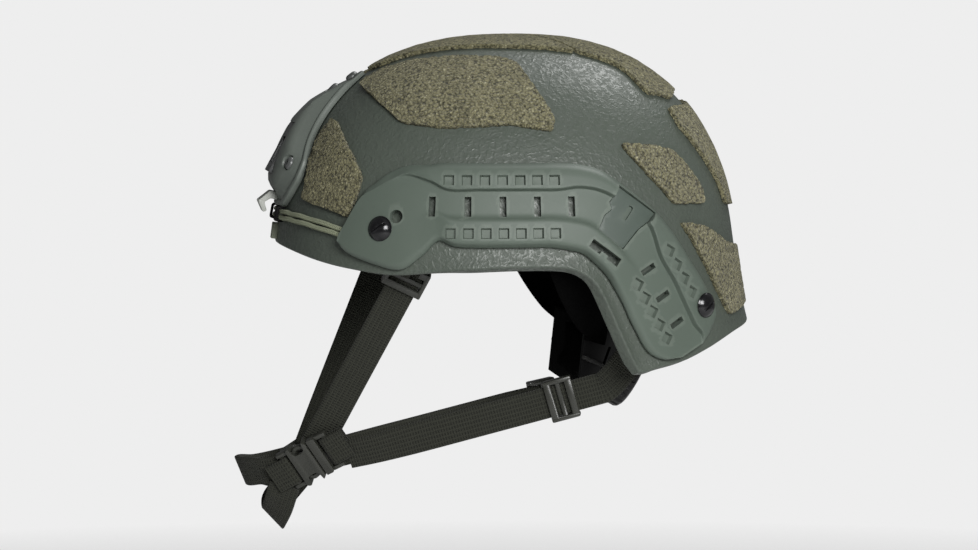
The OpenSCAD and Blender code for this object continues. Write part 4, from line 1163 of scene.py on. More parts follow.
LACE_CORD = Webbing("lace_braid", Slot.LACE, (34, 34, 32),
                    rough=0.8, specular=0.1, bump=0.2, pitch=1.0, thread=0.8)
WEBBING = Webbing("harness_webbing", Slot.WEBBING, (50, 51, 44),
                  rough=0.75, specular=0.12, bump=0.42, spread=0.06, pitch=1.7)
# The pad's gap and tip colours are painted shade and painted highlight in the pile.
PAD_FABRIC = LoopPile("pad_brushed_fabric", Slot.PAD, (9, 9, 9),
                      rough=0.95, specular=0.02, bump=0.15, spread=0.1, gap=(4, 4, 4), tip=(14, 14, 14),
                      tuft=1400.0, sheen=0.0)


def dress(obj: Piece, finish: Finish, *stands_for: str, body: Body = Body.HELMET) -> Piece:
    """Gives a piece its finish and body, and reports it.

    Args:
        obj: Finished mesh.
        finish: Its material, which has the slot.
        *stands_for: CAD nodes that it replaces.
        body: Body that it rides on.

    Returns:
        The same object.
    """
    obj.data.materials.clear()
    obj.data.materials.append(finish.material())
    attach(obj, body.value)
    if stands_for:
        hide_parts(*stands_for)
    LOG.info("%s: %d faces, %s", obj.name, len(obj.data.polygons), finish.name)
    return obj


def dress_pair(left: Piece, finish: Finish, node: str = "") -> None:
    """Dresses a left piece and then its mirrored right twin.

    Args:
        left: Finished mesh, with left in its name.
        finish: Material of both.
        node: CAD node of the left piece, or nothing.
    """
    nodes = [node] if node else []
    dress(left, finish, *nodes)
    right = copied(left, left.name.replace("left", "right"), MIRROR)
    dress(right, finish, *(n.replace("left", "right") for n in nodes))


def redress(node: str, finish: Finish) -> None:
    """Gives a CAD node that stays in view a better material."""
    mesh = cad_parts[node].data
    mesh.materials.clear()
    mesh.materials.append(finish.material())
    LOG.info("%s: kept, %s", node, finish.name)


# Shell and panels


@dataclass
class Shell:
    """The laminate shell with its rounded rim."""

    columns: int = 216
    rows: int = 70
    rim_round: float = 2.4

    def build(self) -> None:
        """Makes the shell from its outer skin."""
        az = np.linspace(0, 360, self.columns + 1)
        el = DOME.rim_el(az)
        t = np.linspace(0, 1, self.rows + 1)[:, None]
        outer = DOME.ray(np.broadcast_to(az, (len(t), len(az))), mix(90.0, el[None, :], t))
        shell = surface("shell_skin", DOME.skin(outer, 0.0))
        thicken(shell, DOME.wall, -1.0)
        ease_edges(shell, self.rim_round, 4, 50.0)
        dress(smooth(shell, 40.0), SHELL_PAINT, "shell")


@dataclass
class LoopPanels:
    """Loop fabric panels glued on the shell."""

    low: float = 0.3
    high: float = 2.9
    fray: float = 0.45
    crown_half: float = 36.0
    outlines: dict[str, tuple[View, list]] = field(default_factory=dict)

    def __post_init__(self) -> None:
        """Draws the outline of each panel of the middle and of the left side."""
        c = self.crown_half
        crown = [[13.5, -82], [c - 14.5, -69], [c - 5.5, -52], [c, -36],
                 [c + 4.7, -13], [c + 7.4, 12], [c + 9, 32]]
        tail = [[c + 9.2, 34.5], [48, 54], [50, 60.5], [57, 66.4], [62, 73], [48, 89.5], [25, 95]]
        rear = [[60, 104], [65.5, 93], [61.5, 74], [54.5, 59], [51.5, 46], [20, 44]]
        self.outlines = {
            "loop_temple": (View.SIDE, [
                [-133, 49.5], [-113.5, 42.5], [-109, 40.5], [-103.5, 52.5], [-100, 64.5], [-109.5, 88.5],
                [-111.5, 96], [-114, 97], [-121.5, 87], [-127, 74], [-130, 61]]),
            "loop_side": (View.SIDE, [
                [-77, 96], [-53, 93], [-13, 95], [11, 91], [13, 98], [9.3, 105], [2.5, 116.6], [-3, 125.6],
                [-6, 130.6], [-15, 133.4], [-40, 134.2], [-65, 131.7], [-81, 127], [-94, 120], [-97, 117]]),
            "loop_rear_side": (View.SIDE, [
                [64.5, 68.5], [77.5, 55], [83, 48], [105, 47.5], [102, 58.5],
                [93, 70], [84, 79.5], [70, 82.5], [51, 84], [57.5, 76]]),
            "loop_nape": (View.BACK, [
                [40, -14], [69, -20], [80, 0], [89, 19.5], [95.5, 37.5], [83, 34.5], [64, 23.5], [40, 20]]),
            "loop_crown": (View.TOP, self.both_halves([0, -89], crown, [0, -6])),
            "loop_crown_tail": (View.TOP, self.both_halves([0, -3.5], tail, [0, 97])),
            "loop_rear": (View.BACK, self.both_halves([0, 106], rear, [0, 43.5])),
        }

    def both_halves(self, first: list, edge: list, last: list) -> list:
        """Returns an outline from its left edge, mirrored to the right."""
        return [first] + edge + [last] + [[-x, y] for x, y in reversed(edge)]

    def frayed(self, outline: list, seed: int) -> Array:
        """Returns an outline with soft corners and a ragged cut edge."""
        o = spaced(softened(outline, 3.0), 1.6)
        rng = np.random.default_rng(seed)
        way = unit(np.roll(o, -1, axis=0) - np.roll(o, 1, axis=0))
        out = np.stack([way[:, 1], -way[:, 0]], axis=1)
        return o + out * rng.normal(0, self.fray * 0.45, len(o))[:, None]

    def build(self) -> None:
        """Makes every panel, with the left ones mirrored to the right."""
        for seed, (name, (view, outline)) in enumerate(self.outlines.items()):
            paired = name in ("loop_temple", "loop_side", "loop_rear_side", "loop_nape")
            piece = f"{name}_left" if paired else name
            panel = patch(f"{piece}_pile", view, self.frayed(outline, seed), self.low, self.high, 4.5, 0.5)
            self.ruffle(panel, seed)
            smooth(panel, 60.0)
            if paired:
                twin = copied(panel, f"{name}_right_pile", MIRROR)
                dress(twin, PANEL_PILE, f"{name}_right")
            dress(panel, PANEL_PILE, piece)

    def ruffle(self, panel: Piece, seed: int) -> None:
        """Lifts and lowers the pile by a fraction of a millimetre."""
        rng = np.random.default_rng(100 + seed)
        co = coords(panel)
        move_to(panel, co + DOME.normal(co) * rng.normal(0, 0.09, len(co))[:, None])


# Rails


@dataclass
class SideRail:
    """The long accessory rail with its lips, pockets, slots and rear leg."""

    top_z: float = 72.5
    low_z: float = 24.0
    lip_h: float = 9.5
    low_lip_h: float = 8.0
    floor_h: float = 5.6
    plate_h: float = 6.0
    edge_h: float = 4.0
    seat_h: float = 1.3
    pocket: float = 6.6
    pocket_deep: float = 2.6
    pockets: int = 7
    pocket_y: float = -51.0
    pitch: float = 10.0
    top_row: float = 11.2
    low_row: float = 7.9
    slots: int = 5
    slot_at: tuple[float, float] = (-61.0, 47.2)
    slot_pitch: float = 20.0
    leg_angle: float = 61.0
    leg_pitch: float = 9.3
    leg_pockets: int = 4
    leg_slots: int = 3
    leg_slot_pitch: float = 18.4
    block_gap: float = 0.25
    block_shrink: float = 0.15
    leg_at: tuple[float, float] = (63.8, 10.4)
    front_bolt: tuple[float, float] = (-89.4, 34.3)
    rear_bolt: tuple[float, float] = (96.5, -12.0)
    front_hole: tuple[float, float] = (-80.8, 41.4)
    retainer_at: tuple[float, float] = (37.5, 20.5)
    insert: tuple = ((34.5, 33.8), (38.3, 42), (42.7, 45.4), (41.4, 49.5), (44.4, 52.9), (46.8, 58.3),
                     (68.4, 42.5), (64.6, 38), (58, 33.5), (48.5, 22.5))

    def stations(self) -> Array:
        """Returns lower edge, upper edge, lip borders and lip rises along the rail."""
        t, b = self.top_z, self.low_z
        return np.array([
            [-113, 26, -111.5, 31, 0.4, 0.8, 0, 0],
            [-109, 20, -100, 53, 0.4, 0.9, 0, 0],
            [-95, 14, -92, 61, 0.4, 0.9, 0, 0],
            [-80, 11, -84, 67, 0.4, 0.9, 0, 0],
            [-68, 19, -74, 71, 0.38, 0.88, 0, 0.55],
            [-58, b + 4, -62, t - 1, 0.36, 0.76, 0.4, 1],
            [-50, b + 1, -54, t, 0.33, 0.67, 1, 1],
            [-36, b, -34, t, 0.33, 0.67, 1, 1],
            [-22, b, -18, t, 0.33, 0.67, 1, 1],
            [-8, b, -2, t, 0.33, 0.67, 1, 1],
            [6, b, 14, t, 0.33, 0.67, 1, 1],
            [17, b - 1.5, 26, t - 1, 0.33, 0.72, 1, 1],
            [26, b - 4, 38, t - 4.5, 0.33, 0.75, 1, 1],
            [34, 13.5, 48.5, 61, 0.33, 0.79, 1, 1],
            [40, 7, 58.5, 53.5, 0.33, 0.8, 0.9, 1],
            [45, -1, 69, 45, 0.33, 0.8, 0.5, 1],
            [50, -10, 80.7, 31.5, 0.36, 0.67, 0, 1],
            [54, -19, 91.7, 15, 0.38, 0.66, 0, 1],
            [58, -26.5, 98.7, 4.5, 0.38, 0.635, 0, 1],
            [62, -34, 104.5, -6.5, 0.38, 0.625, 0, 1],
            [67, -40, 107.5, -15.5, 0.38, 0.63, 0, 1],
            [74, -43.5, 104, -25.5, 0.38, 0.75, 0, 0.6],
            [83, -43, 98.5, -34, 0.4, 0.85, 0, 0],
        ])

    def ring(self, s: Array) -> Array:
        """Returns one rounded cross-section of the rail.

        Args:
            s: One row of the stations.

        Returns:
            Points of the closed ring, once round.
        """
        low, top, a, b = s[0:2], s[2:4], s[4], s[5]
        low_s, top_s = np.clip(s[6], 0, 1), np.clip(s[7], 0, 1)
        floor = mix(self.plate_h, self.floor_h, max(low_s, top_s))
        low_h, high_h = mix(floor, self.low_lip_h, low_s), mix(floor, self.lip_h, top_s)
        wide = np.linalg.norm(top - low)
        corners = np.array([
            [0, self.seat_h], [0, self.edge_h - 0.6], [0.05 * wide, low_h], [(a - 0.02) * wide, low_h],
            [(a + 0.04) * wide, floor], [(b - 0.012) * wide, floor], [(b + 0.004) * wide, high_h],
            [0.9 * wide, high_h], [wide, self.edge_h - 0.4], [wide, self.seat_h], [0.5 * wide, self.seat_h],
        ])
        radii = [0.3, 1.6, 1.8, 1.4, 2.2, 0.5, 0.7, 4.0, 1.6, 0.3, 1.0]
        flat = softened(corners, radii, 4)
        flat = self.dense(flat)
        share = flat[:, 0] / wide
        return DOME.laid(View.SIDE, mix(low, top, share[:, None]), flat[:, 1])

    def dense(self, flat: Array) -> Array:
        """Returns a ring whose spans between rounded corners are cut into six."""
        rows = []
        for i, (p, q) in enumerate(zip(flat, np.roll(flat, -1, axis=0))):
            cuts = 6 if i % 5 == 4 else 1
            rows += [mix(p, q, k / cuts) for k in range(cuts)]
        return np.array(rows)

    def cell(self, at: Array, top_h: float, turn: float = 0.0) -> Piece:
        """Returns the cutter of one tapered pocket."""
        deep = self.pocket_deep
        cut = box("pocket", (self.pocket - 1.7, self.pocket - 1.7, deep + 2), (0, 0, deep / 2 + 1), taper=2.4)
        return on_dome(cut, View.SIDE, at, top_h - deep, turn)

    def grown(self, by: float) -> Array:
        """Returns the outline of the drop-in block, grown by a clearance."""
        o = np.array(self.insert, float)
        way = unit(np.roll(o, -1, axis=0) - np.roll(o, 1, axis=0))
        return o + np.stack([-way[:, 1], way[:, 0]], axis=1) * by

    def cutters(self) -> list[Piece]:
        """Returns the cutters of pockets, slots, holes and recesses."""
        lean = math.radians(self.leg_angle)
        run = np.array([math.cos(lean), -math.sin(lean)])
        rise = np.array([-run[1], run[0]])
        at, turn = np.array(self.leg_at), self.leg_angle
        cuts = []
        for i in range(self.pockets):
            y = self.pocket_y + i * self.pitch
            cuts.append(self.cell(np.array([y, self.top_z - self.top_row]), self.lip_h))
            cuts.append(self.cell(np.array([y, self.low_z + self.low_row]), self.low_lip_h))
        for i in range(self.leg_pockets):
            top = at + rise * 14.7 + run * (i * self.leg_pitch - 3.7)
            cuts.append(self.cell(top, self.lip_h, turn - 90))
        for i in range(self.leg_pockets + 1):
            low = at - rise * 9.7 + run * (i * self.leg_pitch + 4.4)
            cuts.append(self.cell(low, self.floor_h, turn - 90))
        for i in range(self.slots):
            y, z = self.slot_at
            slot = box("slot", (4, 12, 16), (0, 0, 5))
            cuts.append(on_dome(slot, View.SIDE, (y + i * self.slot_pitch, z)))
        for i in range(self.leg_slots):
            slot = box("slot", (9.8, 3.4, 16), (0, 0, 5))
            cuts.append(on_dome(slot, View.SIDE, at + run * i * self.leg_slot_pitch, 0, 90 - turn))
        hook = slab("retainer", [[-10.5, -2.7], [-2.5, -2.7], [-2.5, -0.6], [2.5, -0.6], [2.5, -2.7],
                                 [10.5, -2.7], [10.5, 2.7], [-10.5, 2.7]], -1, 13)
        cuts.append(on_dome(hook, View.SIDE, self.retainer_at, 0, -36))
        hole = slab("hole", circle(4, 24), -10, 20)
        cuts.append(on_dome(hole, View.SIDE, self.front_hole))
        cuts.append(patch("block_seat", View.SIDE, spaced(self.grown(self.block_gap), 3.0), 3.2, 14.0, 4.0))
        return cuts

    def build(self) -> None:
        """Makes the left rail and its mirrored twin."""
        stations = through(self.stations(), 190)
        rings = np.array([self.ring(s) for s in stations])
        table = np.concatenate([rings, rings[:, :1]], axis=1)
        rail = cap_ends(surface("rail_left_moulding", table))
        carve(rail, self.cutters())
        ease_edges(rail, 0.3, 2, 42.0)
        dress_pair(smooth(rail, 38.0), RAIL_POLYMER, "rail_left")
        self.blocks()

    def blocks(self) -> None:
        """Makes the drop-in block and its twin."""
        outline = spaced(softened(self.grown(-self.block_shrink), 0.8, 2), 3.0)
        block = patch("rail_insert_left_block", View.SIDE, outline, 3.5, 5.1, 3.5, 0.35)
        slot = slab("slot", softened(oblong(1.5, 5), 1.4, 4), -2, 12)
        carve(block, [on_dome(slot, View.SIDE, (52, 43), 0, -38)])
        dress_pair(smooth(block, 40.0), INSERT_POLYMER, "rail_insert_left")


@dataclass
class RailScrews:
    """Domed slotted screws that hold the rails."""

    head: float = 15.0
    rise: float = 4.0
    shank: float = 5.0
    slot: float = 1.8

    def build(self) -> None:
        """Makes one screw and sets it in the four places."""
        r, h = self.head / 2, self.rise
        ball = (r * r + h * h) / (2 * h)
        top = math.asin(r / ball)
        dome = [[ball * math.sin(a), h - ball + ball * math.cos(a)] for a in np.linspace(0, top * 0.96, 12)]
        profile = dome + [[r, 0.35], [r - 0.15, 0], [self.shank / 2, 0], [self.shank / 2, -18], [0, -18]]
        screw = spun("screw", profile, 56)
        groove = box("groove", (self.head + 2, self.slot, 3), (0, 0, h))
        carve(screw, [place(groove, Matrix.Rotation(math.radians(35), 4, "Z"))])
        smooth(ease_edges(screw, 0.18, 2, 40.0), 35.0)
        rail = SideRail()
        spots = [(rail.front_bolt, rail.plate_h + 0.2), (rail.rear_bolt, rail.lip_h + 0.7)]
        places = mirrored([DOME.frame_at(View.SIDE, at, lift) for at, lift in spots])
        dress(stamped("rail_screws_turned", screw, places), SCREW_BLACK, "rail_screws")
        bpy.data.objects.remove(screw)


# Shroud and bungee


@dataclass
class Shroud:
    """Front mount: raised frame, steel plate, screws and lanyard hook."""

    rise: float = 13.25
    flange: float = 3.0
    seat_h: float = 0.7
    plate_at: tuple[float, float] = (0.0, 75.0)
    plate_face: float = 12.4
    plate_tilt: float = -4.0
    plate_size: tuple[float, float] = (31.6, 33.6)
    side_bolt: tuple[float, float] = (31.0, 68.0)
    side_lift: float = 8.0
    top_bolts: tuple = ((0.0, 111.5), (0.0, 119.8))
    top_lifts: tuple[float, float] = (4.9, 3.2)
    head: float = 8.0
    hook_at: tuple[float, float] = (0.0, 46.5)

    def cap(self, z: Array) -> Array:
        """Returns the stand-off that the shroud's top may have at a height."""
        fall = 0.21 * np.maximum(0, z - 90) + 0.24 * np.maximum(0, z - 101.5)
        return np.maximum(self.flange, self.rise - fall)

    def body(self) -> Piece:
        """Makes the raised frame before it is cut."""
        side = [[26, 44], [33, 50], [40, 60], [40, 71], [31, 84], [24, 97], [19, 109], [13, 119], [6, 124]]
        outline = [[0, 44]] + side + [[-x, z] for x, z in reversed(side)]
        o = spaced(softened(outline, 3.0, 3), 2.2)
        c = np.array([0.0, 84.0])
        f, r = self.flange, self.rise
        share = [[0, r], [0.3, r], [0.5, r - 0.1], [0.62, r - 0.9], [0.7, r - 2.1], [0.76, r - 4.2],
                 [0.82, r - 7.0], [0.88, f + 1.5], [0.905, f + 0.5], [0.93, f + 1.5], [0.975, f + 1.5],
                 [0.992, f + 1.0], [1, f - 0.4]]
        rows = []
        for s, h in share:
            q = mix(c, o, s)
            rows.append(DOME.laid(View.FRONT, q, np.minimum(h, self.cap(q[:, 1]))))
        for s in (1, 0.6, 0.3, 0):
            rows.append(DOME.laid(View.FRONT, mix(c, o, s), self.seat_h))
        table = np.array(rows)
        return surface("shroud_frame", np.concatenate([table, table[:, :1]], axis=1))

    def on_plate(self, lift: float) -> Matrix:
        """Returns the placing of the steel plate, lifted off its face."""
        seat = DOME.frame_at(View.FRONT, self.plate_at, self.plate_face)
        tilt = Matrix.Rotation(math.radians(self.plate_tilt), 4, "X")
        return seat @ tilt @ Matrix.Translation((0, 0, lift))

    def build(self) -> None:
        """Makes the frame and what is fixed in it."""
        w, h = self.plate_size
        cuts = [place(box("rebate", (w + 0.6, h + 0.6, 30), (0, 0, 15)), self.on_plate(-2.6)),
                place(box("socket", (w - 7.6, h - 7.6, 30), (0, 0, 15)), self.on_plate(-8.0))]
        seats = [((s * self.side_bolt[0], self.side_bolt[1]), self.side_lift) for s in (-1, 1)]
        seats += list(zip(self.top_bolts, self.top_lifts))
        for at, lift in seats:
            seat = spun("seat", [[0, 0], [4.9, 0], [6.4, 20], [0, 20]], 40)
            cuts.append(on_dome(seat, View.FRONT, at, lift))
        notch = box("hook_seat", (17.8, 4.8, 30), (0, 2.2, 15))
        cuts.append(on_dome(notch, View.FRONT, self.hook_at, 4.0))
        frame_piece = ease_edges(carve(self.body(), cuts), 0.45, 2, 40.0)
        dress(smooth(frame_piece, 38.0), SHROUD_POLYMER, "shroud")
        self.plate()
        self.hook()
        self.screws(seats)
        # Painted highlight: a pale tab set on the brow front where the front light falls.
        tab = slab("brow_highlight_tab", softened(oblong(4.5, 5), 1.2), -1.5, 2.6, 0.4)
        on_dome(tab, View.FRONT, (0, 28.5), 0.8)
        dress(smooth(tab), PAINTED_BROW_HIGHLIGHT)

    def plate(self) -> None:
        """Makes the steel plate with its dovetail slot."""
        w, h = np.array(self.plate_size) / 2
        plate = slab("shroud_plate_steel", softened(oblong(w, h), 1.6), -2.5, 0.0)
        dovetail = slab("dovetail", softened([[-6, -11], [6, -11], [9, 7], [-9, 7]], 0.8), -5, 5)
        ease_edges(carve(plate, [dovetail]), 0.25, 2, 40.0)
        dress(smooth(place(plate, self.on_plate(0.0))), PLATE_STEEL, "shroud_plate")

    def hook(self) -> None:
        """Makes the pale hook that a lanyard loops round."""
        shape = [[5, 3.2], [5, 9], [-2.6, 15.2], [-8.8, 10.6],
                 [-7.4, 8.6], [-2.6, 11.2], [0.4, 8], [0.4, 3.2]]
        hook = slab("shroud_hook_cast", softened(shape, 0.9, 3), -8.5, 8.5)
        carve(hook, [box("gap", (4.5, 7, 6), (-3.6, 12.5, 0))])
        ease_edges(hook, 0.3, 2, 40.0)
        place(hook, DOME.frame_at(View.FRONT, self.hook_at) @ UPRIGHT)
        dress(smooth(hook), PALE_METAL, "shroud_hook")

    def screws(self, seats: list) -> None:
        """Sets a small socket screw in every seat."""
        r = self.head / 2
        profile = [[1.3, 1.0], [1.35, 2.1], [2.4, 2.5], [r - 0.6, 1.9], [r, 0.9], [r, 0.2],
                   [1.4, 0.2], [1.4, -12], [0, -12], [0, 1.0]]
        screw = smooth(spun("screw", profile, 40), 35.0)
        places = [DOME.frame_at(View.FRONT, at, lift) for at, lift in seats]
        dress(stamped("shroud_screws_turned", screw, places), SCREW_DULL, "shroud_screws")
        bpy.data.objects.remove(screw)


@dataclass
class Bungee:
    """Two elastic strands a side, from the rings under the shroud to the rails."""

    thick: float = 3.0
    gap: float = 0.5
    ring_x: float = 17.0
    ring_z: float = 39.2
    tip: tuple[float, float] = (86.0, 30.8)
    height: float = 2.1

    def strand(self, k: int) -> Piece:
        """Returns one strand of the left side."""
        t = np.linspace(0, 1, 60)
        x = mix(self.ring_x - 3.0, self.tip[0], t)
        sway = 0.35 * np.sin(t * 23.0 + 2.1 * k)
        z = mix(self.ring_z, self.tip[1], t**3) + (k - 0.5) * (self.thick + self.gap) + sway * 0.5
        flat = np.column_stack([x, z])
        path = DOME.laid(View.FRONT, flat, self.height + 0.4 * sway)
        return sweep("strand", path, DOME.normal(DOME.seat(View.FRONT, flat)), circle(self.thick / 2, 12))

    def build(self) -> None:
        """Makes the strands and the rings."""
        left = joined("bungee_left_strands", [self.strand(0), self.strand(1)])
        dress_pair(smooth(left, 60.0), BRAID, "bungee_left")
        tall, deep = 9.6, 5.6
        half, low, high = tall / 2, -2.2, deep - 2.2
        outer = softened([[-half, low], [half, low], [half, high], [-half, high]], 2.0, 4)
        inner = softened([[-3.6, -1.7], [3.6, -1.7], [3.6, 1.9], [-3.6, 1.9]], 1.6, 4)
        ring = carve(slab("ring", outer, -3, 3), [slab("gap", inner, -5, 5)])
        smooth(ease_edges(ring, 0.5, 2, 40.0))
        place(ring, DOME.frame_at(View.FRONT, (self.ring_x + 3, self.ring_z), self.height) @ UPRIGHT)
        dress(with_twin("bungee_rings_moulded", ring), BLACK_POLYMER, "bungee_rings")


# Liner and fit system


def inflate(obj: Piece, most: float) -> Piece:
    """Swells a closed form into a cushion by a cloth simulation.

    Args:
        obj: Closed mesh, a little smaller than the cushion.
        most: How far a point may move, in millimetres.

    Returns:
        The swollen mesh.
    """
    modify(obj, "REMESH", mode="VOXEL", voxel_size=PAD_CELL * MM, use_smooth_shade=True)
    before = coords(obj)
    activate(obj)
    cloth = obj.modifiers.new("cloth", "CLOTH")
    cloth.settings.use_pressure = True
    cloth.settings.uniform_pressure_force = PAD_PRESSURE
    cloth.settings.effector_weights.gravity = 0.0
    for step in range(1, PAD_FRAMES + 1):
        bpy.context.scene.frame_set(step)
    bpy.ops.object.modifier_apply(modifier=cloth.name)
    bpy.context.scene.frame_set(1)
    moved = coords(obj) - before
    far = np.linalg.norm(moved, axis=1, keepdims=True)
    move_to(obj, before + moved * np.minimum(1.0, most / np.maximum(far, 1e-6)))
    return smooth(modify(obj, "SUBSURF", levels=1, render_levels=1), 70.0)


@dataclass
class Liner:
    """Comfort pads inside the shell, each with a sewn edge."""

    top: float = -11.6
    thick: float = 15.0
    shrink: float = 0.93

    def pads(self) -> list[tuple[str, View, tuple[float, float], float, float]]:
        """Returns name, side, middle and half sizes of each pad."""
        return [
            ("pad_crown", View.TOP, (0, 4), 44, 38), ("pad_front", View.FRONT, (0, 68), 42, 17),
            ("pad_rear", View.BACK, (0, 52), 42, 20), ("pad_side_front", View.SIDE, (-62, 58), 27, 19),
            ("pad_side_rear", View.SIDE, (28, 56), 33, 20),
        ]

    def edge(self, at: Sequence[float], a: float, b: float, count: int) -> Array:
        """Returns a rounded oblong outline round a middle."""
        t = np.arange(count) * 2 * math.pi / count
        u, v = np.cos(t), np.sin(t)
        k = (u**4 + v**4) ** -0.25
        return np.array(at, float) + np.column_stack([a * u * k, b * v * k])

    def seam(self, view: View, at: Sequence[float], a: float, b: float) -> Piece:
        """Returns the piping sewn round a pad's middle."""
        flat = self.edge(at, a * 0.985, b * 0.985, 72)
        flat = np.vstack([flat, flat[:1]])
        path = DOME.laid(view, flat, self.top - self.thick * 0.42)
        return sweep("piping", path, DOME.normal(path), circle(0.9, 8))

    def build(self) -> None:
        """Makes every pad and mirrors the side ones."""
        for name, view, at, a, b in self.pads():
            t, h = self.top, self.thick
            rows = [[0, t], [0.55, t], [0.9, t - 0.9], [0.97, t - 0.3 * h], [0.95, t - 0.66 * h],
                    [0.83, t - 0.88 * h], [0.5, t - 0.95 * h], [0, t - 0.95 * h]]
            o = self.edge(at, a, b, 48)
            middle = np.array(at, float)
            table = np.array([DOME.laid(view, mix(middle, o, s * self.shrink), lift) for s, lift in rows])
            pad = surface(name, np.concatenate([table, table[:, :1]], axis=1))
            inflate(pad, most=2.2)
            pad = joined(name, [pad, self.seam(view, at, a * self.shrink, b * self.shrink)])
            paired = name.startswith("pad_side")
            pad.name = f"{name}_{'left_' if paired else ''}cushion"
            if paired:
                twin = dress(copied(pad, f"{name}_right_cushion", MIRROR), PAD_FABRIC, f"{name}_right")
            node = f"{name}_left" if paired else name
            dress(pad, PAD_FABRIC, node)


@dataclass
class FitSystem:
    """Headband, nape cradle with its pad and wings, dial and laces."""

    band_high: float = 13.0
    band_lift: float = -12.3
    band_end: float = 104.0
    tilt: float = 30.0
    knob_d: float = 40.0
    knob_thick: float = 11.0
    housing_thick: float = 7.0
    dial_at: tuple[float, float, float] = (0.0, 75.0, -66.0)
    lace: float = 2.4
    grooves: int = 22
    cradle_sweep: float = 78.0
    cradle_size: tuple[float, float, float] = (66, 31, 14)

    def __post_init__(self) -> None:
        """Works out the dial's axis and what is set along it."""
        a = math.radians(self.tilt)
        self.axis = np.array([0, math.cos(a), -math.sin(a)])
        self.up = np.array([0, math.sin(a), math.cos(a)])
        self.knob_back = np.array(self.dial_at) - self.axis * self.knob_thick
        self.housing_back = self.knob_back - self.axis * (self.housing_thick + 0.3)
        self.cradle_mid = self.housing_back - self.axis * 1.6

    def cradle(self, t: Array, inset: float = 0.0) -> tuple[Array, Array, Array]:
        """Returns middle, down direction and face of the cradle at shares of its run.

        Args:
            t: Shares from the right end to the left end.
            inset: Distance inwards from the cradle's middle surface.

        Returns:
            Three arrays of vectors.
        """
        a = np.radians(mix(-self.cradle_sweep, self.cradle_sweep, np.asarray(t)))[:, None]
        c, s = np.cos(a), np.sin(a)
        half, deep, rise = self.cradle_size
        curve = np.hstack([(half - inset) * s, -deep * (1 - c), rise * (1 - c)])
        mid = self.cradle_mid + curve - self.axis * inset * c
        down = -mix(self.up, np.array([0, 0, 1.0]), 1 - c)
        tilt = math.radians(self.tilt)
        face = unit(np.hstack([s * deep / half * 2, c * math.cos(tilt), -c * math.sin(tilt)]))
        return mid, unit(down), face

    def curved_plate(self, name: str, t: Array, inset: float, high: Array, thick: Array) -> Piece:
        """Lays a rounded band along the cradle's run."""
        mid, down, face = self.cradle(t, inset)
        out = unit(face - down * (face * down).sum(axis=1, keepdims=True))
        ring = spaced(softened(oblong(0.5, 0.5), [0.12] * 4, 3), 0.09)
        ring = np.vstack([ring, ring[:1]])
        table = (mid[:, None] + down[:, None] * (ring[None, :, :1] * high[:, None, None])
                 + out[:, None] * (ring[None, :, 1:] * thick[:, None, None]))
        return cap_ends(surface(name, table))

    def build(self) -> None:
        """Makes the band, the cradle, the dial and the laces."""
        self.headband()
        self.nape()
        self.wings()
        self.dial()
        self.laces()

    def headband(self) -> None:
        """Makes the band inside the brow and temples."""
        az = np.linspace(-self.band_end, self.band_end, 120)
        low = DOME.ray(az, DOME.rim_el(az))
        reach = np.linalg.norm(low - np.array([0, 0, DOME.belt_z]), axis=1)
        at = DOME.ray(az, DOME.rim_el(az) + np.degrees((self.band_high / 2 + 5) / reach))
        section = spaced(softened(oblong(6.5, 1.2), 0.9, 3), 1.2)
        band = sweep("headband_moulded", DOME.skin(at, self.band_lift), DOME.normal(at), section)
        dress(smooth(band, 50.0), BLACK_POLYMER, "headband")

    def nape(self) -> None:
        """Makes the cradle and the pad on its inner face."""
        t = np.linspace(0, 1, 72)
        a = np.cos(np.radians(mix(-self.cradle_sweep, self.cradle_sweep, t)))
        cradle = self.curved_plate("nape_cradle_moulded", t, 0.0, mix(40.0, 43.0, a), np.full(72, 3.0))
        slots = []
        for share, x in ((0.2, 0), (0.8, 0), (0.3, 0), (0.7, 0)):
            mid, down, face = self.cradle(np.array([share]))
            slots.append(place(slab("slot", softened(oblong(2, 12), 1.9, 4), -8, 8),
                               along_line(mid[0], down[0], face[0])))
        ease_edges(carve(cradle, slots), 0.3, 2, 40.0)
        dress(smooth(cradle), BLACK_POLYMER, "nape_cradle")
        t = np.linspace(0.07, 0.93, 40)
        bulge = 0.55 + 0.45 * np.sin(t * math.pi)
        pad = self.curved_plate("nape_pad_cushion", t, 6.8, np.full(40, 34.0), 8.0 * bulge)
        dress(inflate(pad, most=1.8), PAD_FABRIC, "nape_pad")

    def wings(self) -> None:
        """Makes the fabric wings from the headband's ends to the cradle."""
        top = np.array([[16.0, 30.0], [20.0, 20.0]])
        seats = DOME.seat(View.SIDE, top)
        high = DOME.skin(seats, self.band_lift - 4.4)
        mid, down, face = self.cradle(np.array([15 / 16]))
        feet = [mid[0] - down[0] * (20 - lap) + face[0] * 2.7 for lap in (3, 9)]
        points = np.vstack([high, [[91, 28, -2], [77, 37, -19]], feet])
        faces = np.vstack([DOME.normal(seats), unit([[1, 0.1, -0.4], [1, 0.25, -0.5]]), face, face])
        wing = smooth(tape("nape_wing_left_fabric", points, faces, (26, 26, 26, 23, 15, 15), 1.8), 60.0)
        dress_pair(wing, PAD_FABRIC)

    def on_dial(self, at: Array) -> Matrix:
        """Returns a placing with z along the dial's axis."""
        return along_line(at, np.cross(self.axis, [1, 0, 0]), self.axis)

